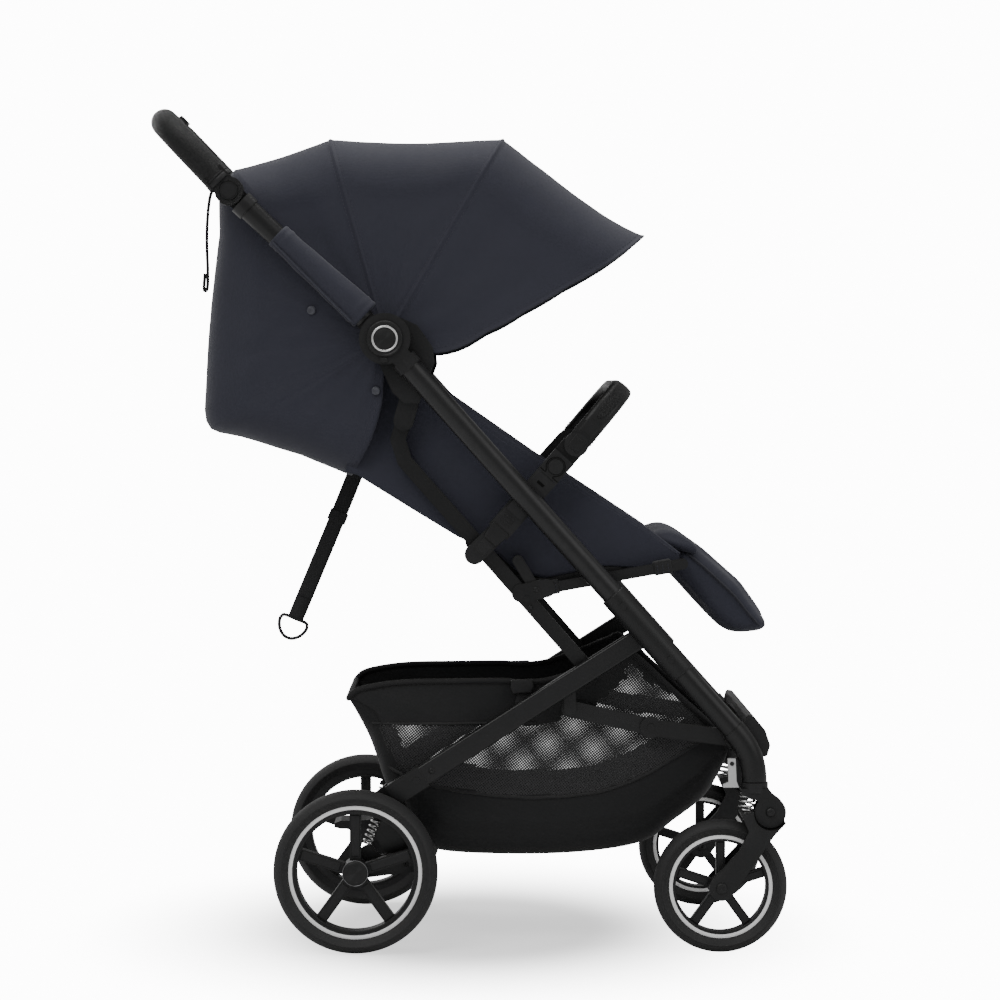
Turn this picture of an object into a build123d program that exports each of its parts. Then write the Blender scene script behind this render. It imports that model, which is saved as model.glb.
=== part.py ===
"""Compact folding baby stroller, built as separate sub-parts.

Units are millimetres. +X is the way the child faces, +Z is up, Y = 0 is the
middle of the stroller. Side r is the child's right (-Y), side l is the left.
"""
from build123d import *
from math import cos, degrees, atan2, hypot, radians, sin
import os

os.makedirs("parts", exist_ok=True)

# ---- driving dimensions -------------------------------------------------
X_SHIFT = 1.7            # puts the middle of the whole length on X = 0
TUBE_Y = 195.5           # side plane of the front tubes, push arms and forks
TUBE_R = 13.5
ARM_R = 13.0
TUBE_WALL = 1.6
FRAME_ANGLE = -48.3      # slope of the front frame, from the hub down
ARM_ANGLE = 136.5        # direction of the push arms, from the hub up
ARM_LENGTH = 253.7       # hub to knuckle
GRIP_ANGLE = 133.6
GRIP_LENGTH = 118.0      # knuckle to the crossing part of the handlebar
GRIP_R = 16.5
GRIP_CORNER = 62.0
HUB_R = 30.4
CONNECTOR_TOP = 407.0    # distances along the front frame, from the hub
CONNECTOR_END = 533.0
CONNECTOR_R = 16.0
LOWER_TUBE_END = 623.0
REAR_WHEEL_R = 98.0
REAR_WHEEL_Y = 204.0
REAR_TYRE_W = 38.0
FRONT_WHEEL_R = 79.7
FRONT_TYRE_W = 34.0
SPOKES = 5
CANOPY_HALF = 165.0      # outer half width of the canopy
CANOPY_CORNER = 60.0
FABRIC = 2.5
BOW_R = 2.5
SHELL_HALF = 165.0
SEAT_HALF = 141.0
BACK_HALF = 131.0
LEG_HALF = 128.0
BASKET_HALF = 140.0
BUMPER_Y = 172.5
BUMPER_ANGLE = 48.5
BAR_ANGLE = 50.0
BAR_LENGTH = 84.0
RUN = 0.06               # radial clearance of a turning pin
SIDES = {"r": -1, "l": 1}


def at(x, z):
    """A point of the side view, in the row frame."""
    return (x + X_SHIFT, z)


def along(start, angle, distance, offset=0.0):
    """A side-view point at a distance along a direction, then square to it."""
    c, s = cos(radians(angle)), sin(radians(angle))
    return (start[0] + distance * c - offset * s, start[1] + distance * s + offset * c)


HUB = at(-100.4, 731.7)
KNUCKLE = along(HUB, ARM_ANGLE, ARM_LENGTH)
SWIVEL = at(339.5, 204.4)
FORK_BOLT = at(358.0, 168.8)
FRONT_AXLE = at(299.2, 79.7)
REAR_AXLE = at(-135.8, 98.0)
LEG_PIVOT = at(208.0, 376.5)
LEG_END = at(-94.4, 184.2)
SWING_PIVOT = at(-68.8, 106.6)
BEAM = at(-92.0, 130.0)
BACK_HINGE = at(58.0, 466.0)
LEG_HINGE = at(256.0, 462.0)
BUMPER_FOOT = at(30.0, 497.0)
BUMPER_JOINT = at(93.2, 567.8)
BUMPER_HINGE = at(127.6, 606.0)
LINK_A = at(120.5, 287.5)
LINK_K = at(217.9, 265.4)
LINK_B = at(315.3, 252.3)
LOCK_PIVOT = at(312.5, 226.0)
BOWS = {"rear": (105.7, 251.2), "mid": (59.8, 279.9), "front": (22.1, 335.7)}
BOW_LAYER = {"rear": 159.3, "mid": 153.8, "front": 148.3}


def side_plane(y_low, y_high):
    """Sketch plane of a slab between two Y values, at its +Y face."""
    return Plane(origin=(0, max(y_low, y_high), 0), x_dir=(1, 0, 0), z_dir=(0, -1, 0))


def slab(points, y_low, y_high, mode=Mode.ADD):
    """Flat piece with a side-view outline."""
    with BuildSketch(side_plane(y_low, y_high)) as outline:
        with BuildLine():
            Polyline(*points, close=True)
        make_face()
    extrude(outline.sketch, amount=abs(y_high - y_low), mode=mode)


def disc(centre, radius, y_low, y_high, mode=Mode.ADD):
    """Round piece whose axis runs across the stroller."""
    with BuildSketch(side_plane(y_low, y_high)) as outline:
        with Locations(centre):
            Circle(radius)
    extrude(outline.sketch, amount=abs(y_high - y_low), mode=mode)


def flat_bar(start, end, width, y_low, y_high, mode=Mode.ADD):
    """Flat bar with round ends between two side-view points."""
    angle = degrees(atan2(end[1] - start[1], end[0] - start[0]))
    length = hypot(end[0] - start[0], end[1] - start[1])
    corners = [
        along(start, angle, 0, width / 2),
        along(start, angle, length, width / 2),
        along(start, angle, length, -width / 2),
        along(start, angle, 0, -width / 2),
    ]
    slab(corners, y_low, y_high, mode)
    disc(start, width / 2, y_low, y_high, mode)
    disc(end, width / 2, y_low, y_high, mode)


def rod(start, end, radius, inner=0.0, mode=Mode.ADD):
    """Straight round bar or tube between two points of the row frame."""
    axis = Vector(*end) - Vector(*start)
    with BuildSketch(Plane(origin=start, z_dir=axis)) as outline:
        Circle(radius)
        if inner:
            Circle(inner, mode=Mode.SUBTRACT)
    extrude(outline.sketch, amount=axis.length, mode=mode)


def on(point, y):
    """A side-view point placed at a depth."""
    return (point[0], y, point[1])


def keep(part, name):
    """Label and write one sub-part."""
    part.label = name
    export_step(part, f"parts/{name}.step")


def u_path(start, angle, y, length, corner):
    """U-shaped centre line: out on one side, across, and back on the other."""
    frame = Plane(
        origin=on(start, 0),
        x_dir=(0, 1, 0),
        z_dir=(sin(radians(angle)), 0, -cos(radians(angle))),
    )
    with BuildLine(frame) as path:
        Line((-y, 0), (-y, length - corner))
        RadiusArc((-y, length - corner), (-y + corner, length), corner)
        Line((-y + corner, length), (y - corner, length))
        RadiusArc((y - corner, length), (y, length - corner), corner)
        Line((y, length - corner), (y, 0))
    return path


def u_section(frame, outer, reach, corner, root):
    """Thin U-shaped ribbon, the cut through a canopy panel along one bow."""
    inner = outer - FABRIC
    with BuildSketch(frame) as section:
        with BuildLine():
            Line((-outer, root), (-outer, reach - corner))
            RadiusArc((-outer, reach - corner), (-outer + corner, reach), corner)
            Line((-outer + corner, reach), (outer - corner, reach))
            RadiusArc((outer - corner, reach), (outer, reach - corner), corner)
            Line((outer, reach - corner), (outer, root))
            Line((outer, root), (inner, root))
            Line((inner, root), (inner, reach - corner))
            RadiusArc(
                (inner, reach - corner), (outer - corner, reach - FABRIC), FABRIC - corner
            )
            Line((outer - corner, reach - FABRIC), (-outer + corner, reach - FABRIC))
            RadiusArc(
                (-outer + corner, reach - FABRIC), (-inner, reach - corner), FABRIC - corner
            )
            Line((-inner, reach - corner), (-inner, root))
            Line((-inner, root), (-outer, root))
        make_face()
    return section


def radial_plane(angle):
    """Plane through the hub axis; local y points out along the angle."""
    a = radians(angle)
    return Plane(origin=on(HUB, 0), x_dir=(0, 1, 0), z_dir=(sin(a), 0, -cos(a)))


def wheel_rim(axle, y, ring, hub_r, spoke_w, half, bore, blind):
    """Spoked rim with a hub; ring is (inner radius, outer radius)."""
    inner, outer = ring
    with BuildPart() as rim:
        disc(axle, outer, y - half * 0.62, y + half * 0.62)
        disc(axle, inner, y - half * 0.62, y + half * 0.62, Mode.SUBTRACT)
        disc(axle, hub_r, y - half, y + half)
        for n in range(SPOKES):
            angle = 90 + n * 360 / SPOKES
            flat_bar(
                along(axle, angle, hub_r * 0.5),
                along(axle, angle, inner + 1.0),
                spoke_w,
                y - half * 0.4,
                y + half * 0.4,
            )
        disc(axle, bore, blind[0], blind[1], Mode.SUBTRACT)
    return rim.part


def wheel_tyre(axle, y, radius, seat, width, grooves):
    """Solid tyre on its rim, with rings cut into the sidewall."""
    half = width / 2
    with BuildPart() as tyre:
        with BuildSketch(Plane(origin=on(axle, y), x_dir=(0, 1, 0), z_dir=(1, 0, 0))):
            with BuildLine():
                Line((-half * 0.62, seat), (half * 0.62, seat))
                Line((half * 0.62, seat), (half, seat + 8))
                Line((half, seat + 8), (half, radius - 9))
                ThreePointArc((half, radius - 9), (0, radius), (-half, radius - 9))
                Line((-half, radius - 9), (-half, seat + 8))
                Line((-half, seat + 8), (-half * 0.62, seat))
            make_face()
            for depth in grooves:
                with Locations((half, depth), (-half, depth)):
                    Circle(0.9, mode=Mode.SUBTRACT)
        revolve(axis=Axis(on(axle, y), (0, 1, 0)))
    return tyre.part


# ---- front frame, one set each side --------------------------------------
for side, s in SIDES.items():
    top = along(HUB, FRAME_ANGLE, 33.0)
    join = along(HUB, FRAME_ANGLE, CONNECTOR_TOP)
    end = along(HUB, FRAME_ANGLE, CONNECTOR_END)
    low = along(HUB, FRAME_ANGLE, LOWER_TUBE_END)
    with BuildPart() as front_tube:
        rod(on(top, s * TUBE_Y), on(join, s * TUBE_Y), TUBE_R, TUBE_R - TUBE_WALL)
    keep(front_tube.part, f"front_tube_{side}")

    with BuildPart() as connector:
        rod(on(join, s * TUBE_Y), on(end, s * TUBE_Y), CONNECTOR_R)
        fillet(connector.edges().filter_by(GeomType.CIRCLE), 2.0)
        for distance in (425.0, 510.0):
            disc(along(HUB, FRAME_ANGLE, distance), 4.2, s * 205.0, s * 213.0)
        disc(LEG_PIVOT, 6.0, s * 161.5, s * 192.0)
        disc(LEG_PIVOT, 9.0, s * 178.6, s * 192.0)
    keep(connector.part, f"frame_connector_{side}")

    bracket_plane = Plane(origin=on(low, s * TUBE_Y), z_dir=on(along((0, 0), FRAME_ANGLE, 1), 0))
    with BuildPart() as lower_tube:
        rod(on(end, s * TUBE_Y), on(low, s * TUBE_Y), TUBE_R)
        with BuildLine() as bend:
            Spline(
                on(low, s * TUBE_Y),
                on(SWIVEL, s * TUBE_Y),
                tangents=(on(along((0, 0), FRAME_ANGLE, 1), 0), (0, 0, -1)),
            )
        with BuildSketch(bracket_plane):
            Circle(TUBE_R + 1.5)
        sweep(path=bend)
        disc(LINK_B, 9.0, s * 162.0, s * 186.0)
        disc(LINK_B, 4.0, s * 155.6, s * 186.0)
        flat_bar(LINK_B, along(LINK_B, 50, 14), 14, s * 180.5, s * 192.0)
        disc(LOCK_PIVOT, 5.0, s * 187.0, s * 193.4)
        flat_bar(LOCK_PIVOT, along(LOCK_PIVOT, 20, 12), 8, s * 187.0, s * 193.4)
        disc(LOCK_PIVOT, 2.5, s * 187.0, s * 203.0)
    keep(lower_tube.part, f"front_bracket_{side}")

    with BuildPart() as lock:
        slab(
            [at(307.5, 232.0), at(316.8, 232.0), at(318.0, 205.0), at(321.0, 197.6),
             at(302.0, 197.6), at(302.0, 201.0), at(308.5, 204.0)],
            s * 194.0,
            s * 202.0,
        )
        disc(LOCK_PIVOT, 2.5 + RUN, s * 190.0, s * 206.0, Mode.SUBTRACT)
    keep(lock.part, f"swivel_lock_{side}")

    # hub: outer shell, socket for the tube, pivot pin and the plate behind it
    with BuildPart() as hub:
        disc(HUB, HUB_R, s * 199.0, s * 211.0)
        disc(HUB, 21.0, s * 211.0, s * 213.5)
        disc(HUB, 10.0, s * 168.0, s * 200.0)
        slab(
            [along(HUB, FRAME_ANGLE, d, o)
             for d, o in ((20, 12), (46, 12), (46, -12), (20, -12))],
            s * 204.0,
            s * 211.0,
        )
        rod(
            on(along(HUB, FRAME_ANGLE, 33.0), s * TUBE_Y),
            on(along(HUB, FRAME_ANGLE, 46.0), s * TUBE_Y),
            15.6,
        )
        rod(
            on(along(HUB, FRAME_ANGLE, 33.0), s * TUBE_Y),
            on(along(HUB, FRAME_ANGLE, 46.0), s * TUBE_Y),
            TUBE_R,
            mode=Mode.SUBTRACT,
        )
        slab(
            [at(-121, 742), at(-112, 712), at(-104, 694), at(-92, 668), at(-78, 655),
             at(-60, 655), at(-50, 682), at(-42, 704), at(-44, 722), at(-62, 748),
             at(-84, 758), at(-108, 757)],
            s * 170.0,
            s * 181.0,
        )
        disc(HUB, 5.0, s * 145.0, s * 170.0)
        rod(
            on(along(HUB, FRAME_ANGLE, 33.0), s * TUBE_Y),
            on(along(HUB, FRAME_ANGLE, 90.0), s * TUBE_Y),
            TUBE_R,
            mode=Mode.SUBTRACT,
        )
    keep(hub.part, f"hub_{side}")

    # strut from the hub plate down to the rear leg
    with BuildPart() as strut:
        points = [at(-73.1, 650.0), at(-86.1, 611.7), at(-77.8, 585.6), at(137.1, 341.0)]
        for a, b in zip(points, points[1:]):
            flat_bar(a, b, 18.0, s * 146.5, s * 157.5)
        flat_bar(at(-73.1, 655.0), at(-79.0, 634.0), 24.0, s * 146.0, s * 169.9)
        flat_bar(at(70.0, 428.0), at(92.0, 433.0), 22.0, s * 157.5, s * 160.0)
        flat_bar(at(61.5, 427.0), at(80.0, 430.0), 22.0, s * 157.5, s * 160.0)
        for rivet in (at(8.9, 484.0), at(68.8, 420.0)):
            disc(rivet, 3.6, s * 157.0, s * 161.2)
    keep(strut.part, f"back_strut_{side}")

    # adapter that holds the bumper bar, on the inner face of the front tube
    with BuildPart() as adapter:
        flat_bar(
            at(6.0, 474.5), along(BUMPER_FOOT, BUMPER_ANGLE, 8), 24.0,
            s * 165.5, s * 179.5,
        )
        slab(
            [along(BUMPER_FOOT, BUMPER_ANGLE, d, o)
             for d, o in ((6, 14.5), (94, 14.5), (94, -14.5), (6, -14.5))],
            s * 164.0,
            s * 181.5,
        )
        slab(
            [along(BUMPER_FOOT, BUMPER_ANGLE, d, o)
             for d, o in ((34, 12), (74, 12), (74, -12), (34, -12))],
            s * 181.5,
            s * 187.0,
        )
        rod(on(top, s * TUBE_Y), on(join, s * TUBE_Y), TUBE_R, mode=Mode.SUBTRACT)
        slab(
            [along(BUMPER_FOOT, BUMPER_ANGLE, d, o)
             for d, o in ((32, 9.3), (96, 9.3), (96, -9.3), (32, -9.3))],
            s * 168.2,
            s * 176.8,
            Mode.SUBTRACT,
        )
    keep(adapter.part, f"bumper_adapter_{side}")

    # arm of the bumper bar, which plugs into the adapter
    with BuildPart() as arm:
        slab(
            [along(BUMPER_FOOT, BUMPER_ANGLE, d, o)
             for d, o in ((40, 9.0), (100, 9.0), (100, -9.0), (40, -9.0))],
            s * 168.5,
            s * 176.5,
        )
        slab(
            [along(BUMPER_FOOT, BUMPER_ANGLE, d, o)
             for d, o in ((94.6, 14.5), (126, 14.5), (126, -14.5), (94.6, -14.5))],
            s * 164.0,
            s * 181.5,
        )
        disc(along(BUMPER_FOOT, BUMPER_ANGLE, 110), 9.8, s * 175.0, s * 182.0, Mode.SUBTRACT)
        disc(BUMPER_HINGE, 14.5, s * 164.0, s * 170.0)
        slab(
            [along(BUMPER_FOOT, BUMPER_ANGLE, d, o)
             for d, o in ((120, 14.5), (145, 14.5), (145, -14.5), (120, -14.5))],
            s * 164.0,
            s * 170.0,
        )
        disc(BUMPER_HINGE, 16.0, s * 170.6, s * 182.0, Mode.SUBTRACT)
        disc(BUMPER_HINGE, 5.0, s * 170.0, s * 180.0)
    keep(arm.part, f"bumper_arm_{side}")

    with BuildPart() as button:
        disc(along(BUMPER_FOOT, BUMPER_ANGLE, 110), 9.2, s * 178.0, s * 182.3)
    keep(button.part, f"bumper_button_{side}")

# ---- front cross member between the two brackets --------------------------
with BuildPart() as cross_member:
    with BuildSketch(side_plane(-180.4, 180.4)):
        with BuildLine():
            Polyline(
                at(329.0, 272.0), at(332.0, 283.0), at(340.0, 281.0), at(354.0, 264.0),
                at(360.0, 246.0), at(356.0, 232.0), at(344.0, 233.0), at(336.0, 246.0),
                close=True,
            )
        make_face()
    extrude(amount=360.8)
    fillet(cross_member.edges().filter_by(Axis.Y), 4.0)
keep(cross_member.part, "front_cross_member")

# ---- seat frame: two rails and two cross rods -----------------------------
with BuildPart() as seat_frame:
    for s in SIDES.values():
        flat_bar(at(80.0, 430.0), LEG_HINGE, 13.0, s * 147.0, s * 157.0)
        flat_bar(BACK_HINGE, at(80.0, 430.0), 13.0, s * 147.0, s * 157.0)
    rod(on(BACK_HINGE, -150.0), on(BACK_HINGE, 150.0), 5.0)
    rod(on(LEG_HINGE, -150.0), on(LEG_HINGE, 150.0), 6.0)
keep(seat_frame.part, "seat_frame")

# ---- seat: side wings and the sitting surface -----------------------------
WING = [
    at(-101.0, 690.0), at(-52.0, 683.0), at(-12.0, 655.0), at(81.0, 590.0),
    at(157.0, 540.0), at(217.0, 500.0), at(239.0, 483.0), at(253.0, 472.0),
    at(253.0, 455.0), at(160.0, 459.0), at(91.0, 444.0), at(60.0, 449.0),
    at(33.0, 474.0), at(-14.0, 494.0), at(-136.0, 569.0), at(-116.0, 611.0),
    at(-102.0, 659.0),
]
with BuildPart() as seat:
    for s in SIDES.values():
        slab(WING, s * (SEAT_HALF - 4.0), s * SEAT_HALF)
        for low, high in ((86.0, 112.0), (222.0, 240.0)):
            rise = 0.186
            slab(
                [at(low, 440 + (low - 80) * rise), at(high, 440 + (high - 80) * rise),
                 at(high, 448 + (high - 80) * rise), at(low, 448 + (low - 80) * rise)],
                s * (SEAT_HALF - 4.0),
                s * 157.0,
            )
    slab(
        [at(77.0, 481.0), at(110.0, 478.0), at(200.0, 486.0), at(226.0, 496.0),
         at(232.0, 478.0), at(226.0, 466.0), at(120.0, 456.0), at(79.0, 452.5)],
        -(SEAT_HALF - 4.0),
        SEAT_HALF - 4.0,
    )
    disc(LEG_HINGE, 37.0, -136.9, 136.9, Mode.SUBTRACT)
    disc(LEG_HINGE, 6.4, -150.0, 150.0, Mode.SUBTRACT)
    disc(BACK_HINGE, 17.0, -136.9, 136.9, Mode.SUBTRACT)
    disc(BACK_HINGE, 5.4, -150.0, 150.0, Mode.SUBTRACT)
keep(seat.part, "seat")

# ---- padded backrest on the rear cross rod --------------------------------
with BuildPart() as backrest:
    slab(
        [along(BACK_HINGE, 150.7, d, o)
         for d, o in ((0, 3), (396, 3), (404, -3), (404, -15), (396, -20), (30, -20), (0, -13))],
        -BACK_HALF,
        BACK_HALF,
    )
    disc(BACK_HINGE, 14.0, -BACK_HALF, BACK_HALF)
    disc(BACK_HINGE, 5.0 + RUN, -BACK_HALF, BACK_HALF, Mode.SUBTRACT)
keep(backrest.part, "backrest")

# ---- padded leg rest on the front cross rod -------------------------------
with BuildPart() as leg_rest:
    slab(
        [at(248.0, 492.0), at(256.0, 495.0), at(278.4, 480.0), at(326.7, 436.5),
         at(344.9, 411.1), at(360.6, 390.6), at(363.0, 383.3), at(358.2, 377.3),
         at(326.7, 373.7), at(320.7, 374.9), at(302.6, 387.0), at(278.4, 413.5),
         at(262.0, 432.0), at(246.0, 448.0), at(242.0, 462.0)],
        -LEG_HALF,
        LEG_HALF,
    )
    disc(LEG_HINGE, 6.0 + RUN, -LEG_HALF, LEG_HALF, Mode.SUBTRACT)
keep(leg_rest.part, "leg_rest")

# ---- rear shell: closed sides, back and bottom, open to the front ---------
SHELL = [
    at(-169.5, 970.0), at(-283.9, 937.1), at(-303.4, 901.0), at(-302.2, 858.7),
    at(-309.5, 810.2), at(-313.1, 780.0), at(-319.2, 695.0), at(-321.6, 646.8),
    at(-319.0, 633.0), at(-309.5, 618.9), at(-278.0, 615.3), at(-205.4, 592.3),
    at(-143.2, 567.0), at(-118.0, 611.2), at(-104.5, 659.1), at(-104.0, 720.0),
]
HOLLOW = [
    at(-169.0, 967.0), at(-282.0, 934.0), at(-300.2, 900.5), at(-299.2, 858.7),
    at(-306.5, 810.2), at(-310.1, 780.0), at(-316.2, 695.0), at(-318.6, 646.8),
    at(-316.0, 635.0), at(-308.0, 622.2), at(-277.2, 618.4), at(-204.4, 595.4),
    at(-143.0, 570.4), at(-90.0, 600.0), at(-90.0, 720.0),
]


def rounded_block(outline, half, corner, back, top):
    """Side outline across a width, with round rear and top corners."""
    with BuildPart() as block:
        slab(outline, -half, half)
        with BuildSketch(Plane.XY) as plan:
            with Locations((back + 300.0, 0)):
                RectangleRounded(600.0, 2 * half, corner)
        extrude(plan.sketch, amount=1100.0, mode=Mode.INTERSECT)
        with BuildSketch(Plane(origin=(400, 0, top - 450.0), x_dir=(0, 1, 0), z_dir=(-1, 0, 0))) as rear:
            RectangleRounded(2 * half, 900.0, CANOPY_CORNER - 4.0)
        extrude(rear.sketch, amount=900.0, mode=Mode.INTERSECT)
    return block.part


shell_back = at(-321.6, 0)[0]
hollow_part = rounded_block(HOLLOW, SHELL_HALF - 3.0, 42.0, shell_back + 3.0, 967.0)
with BuildPart() as rear_shell:
    add(rounded_block(SHELL, SHELL_HALF, 45.0, shell_back, 970.0))
    add(hollow_part, mode=Mode.SUBTRACT)
keep(rear_shell.part, "rear_shell")

# ---- canopy: three bows and two fabric panels -----------------------------
for name, (angle, reach) in BOWS.items():
    layer = BOW_LAYER[name]
    length = reach - (11.0 if name == "rear" else 6.5)
    path = u_path(HUB, angle, layer, length, 62.0)
    frame = radial_plane(angle)
    with BuildPart() as bow:
        with BuildSketch(Plane(origin=on(HUB, -layer), z_dir=on(along((0, 0), angle, 1), 0))):
            Circle(BOW_R)
        sweep(path=path.wire())
        for s in SIDES.values():
            disc(HUB, 10.0, s * (layer - 2.4), s * (layer + 2.4))
            disc(HUB, 5.0 + RUN, s * (layer - 4.0), s * (layer + 4.0), Mode.SUBTRACT)
    keep(bow.part, f"canopy_bow_{name}")

for name, first, second in (("mid", "rear", "mid"), ("front", "mid", "front")):
    (a, ra), (b, rb) = BOWS[first], BOWS[second]
    one = u_section(radial_plane(a - 0.5), CANOPY_HALF, ra, CANOPY_CORNER, 16.0)
    two = u_section(radial_plane(b + 0.5), CANOPY_HALF, rb, CANOPY_CORNER, 16.0)
    with BuildPart() as panel:
        loft([one.sketch.face(), two.sketch.face()], ruled=True)
    keep(panel.part, f"canopy_panel_{name}")

# ---- push arms and handlebar ----------------------------------------------
for side, s in SIDES.items():
    with BuildPart() as push_arm:
        disc(HUB, 29.4, s * 182.0, s * 198.4)
        disc(HUB, 10.0 + RUN, s * 181.0, s * 199.0, Mode.SUBTRACT)
        rod(
            on(along(HUB, ARM_ANGLE, 33.0), s * TUBE_Y),
            on(along(HUB, ARM_ANGLE, ARM_LENGTH - 20.0), s * TUBE_Y),
            ARM_R,
            ARM_R - TUBE_WALL,
        )
        slab(
            [along(HUB, ARM_ANGLE, d, o)
             for d, o in ((20, 12), (42, 12), (42, -12), (20, -12))],
            s * 184.0,
            s * 198.4,
        )
        rod(
            on(along(HUB, ARM_ANGLE, 33.0), s * TUBE_Y),
            on(along(HUB, ARM_ANGLE, 44.0), s * TUBE_Y),
            ARM_R,
        )
        slab(
            [along(HUB, ARM_ANGLE, d, o)
             for d, o in ((226, 12), (250, 12), (250, -12), (226, -12))],
            s * 184.0,
            s * 194.5,
        )
        disc(KNUCKLE, 17.0, s * 184.0, s * 194.5)
        rod(
            on(along(HUB, ARM_ANGLE, ARM_LENGTH - 32.0), s * TUBE_Y),
            on(along(HUB, ARM_ANGLE, ARM_LENGTH - 18.4), s * TUBE_Y),
            15.0,
        )
        disc(KNUCKLE, 5.0, s * 194.0, s * 201.0)
    keep(push_arm.part, f"push_arm_{side}")

    with BuildPart() as knob:
        disc(KNUCKLE, 10.6, s * 206.0, s * 210.5)
        disc(KNUCKLE, 8.6, s * 210.5, s * 211.5)
    keep(knob.part, f"tilt_button_{side}")

with BuildPart() as handlebar:
    start = along(KNUCKLE, GRIP_ANGLE, 19.0)
    path = u_path(start, GRIP_ANGLE, TUBE_Y, GRIP_LENGTH - 19.0, GRIP_CORNER)
    with BuildSketch(Plane(origin=on(start, -TUBE_Y), z_dir=on(along((0, 0), GRIP_ANGLE, 1), 0))):
        Circle(GRIP_R)
    sweep(path=path.wire())
    for s in SIDES.values():
        disc(KNUCKLE, 17.0, s * 195.0, s * 209.0)
        slab(
            [along(KNUCKLE, GRIP_ANGLE, d, o)
             for d, o in ((2, 14), (30, 14), (30, -14), (2, -14))],
            s * 195.0,
            s * 208.0,
        )
        disc(KNUCKLE, 5.0 + RUN, s * 194.0, s * 202.0, Mode.SUBTRACT)
        disc(KNUCKLE, 11.0, s * 202.5, s * 212.0, Mode.SUBTRACT)
    pocket = along(KNUCKLE, GRIP_ANGLE, GRIP_LENGTH)
    slab(
        [along(pocket, 43.6, d, o) for d, o in ((9, 6.4), (22, 6.4), (22, -6.4), (9, -6.4))],
        -17.4,
        17.4,
        Mode.SUBTRACT,
    )
keep(handlebar.part, "handlebar")

with BuildPart() as trigger:
    slab(
        [along(pocket, 43.6, d, o) for d, o in ((13, 6), (20, 6), (20, -6), (13, -6))],
        -17.0,
        17.0,
    )
    fillet(trigger.edges().filter_by(Axis.Y).group_by(Axis.Z)[-1], 2.0)
keep(trigger.part, "fold_trigger")

# ---- bumper bar ------------------------------------------------------------
with BuildPart() as bumper:
    start = along(BUMPER_HINGE, BAR_ANGLE, 6.0)
    path = u_path(start, BAR_ANGLE, BUMPER_Y, BAR_LENGTH - 6.0, 52.0)
    with BuildSketch(
        Plane(
            origin=on(start, -BUMPER_Y),
            x_dir=(0, 1, 0),
            z_dir=on(along((0, 0), BAR_ANGLE, 1), 0),
        )
    ):
        RectangleRounded(17.0, 28.0, 7.0)
    sweep(path=path.wire())
    for s in SIDES.values():
        disc(BUMPER_HINGE, 17.5, s * 163.0, s * 182.0, Mode.SUBTRACT)
        disc(BUMPER_HINGE, 14.5, s * 171.0, s * 181.5)
        slab(
            [along(BUMPER_HINGE, BAR_ANGLE, d, o)
             for d, o in ((6, 13.5), (30, 13.5), (30, -13.5), (6, -13.5))],
            s * 171.0,
            s * 180.6,
        )
        disc(BUMPER_HINGE, 5.0 + RUN, s * 170.0, s * 180.4, Mode.SUBTRACT)
keep(bumper.part, "bumper_bar")

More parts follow.
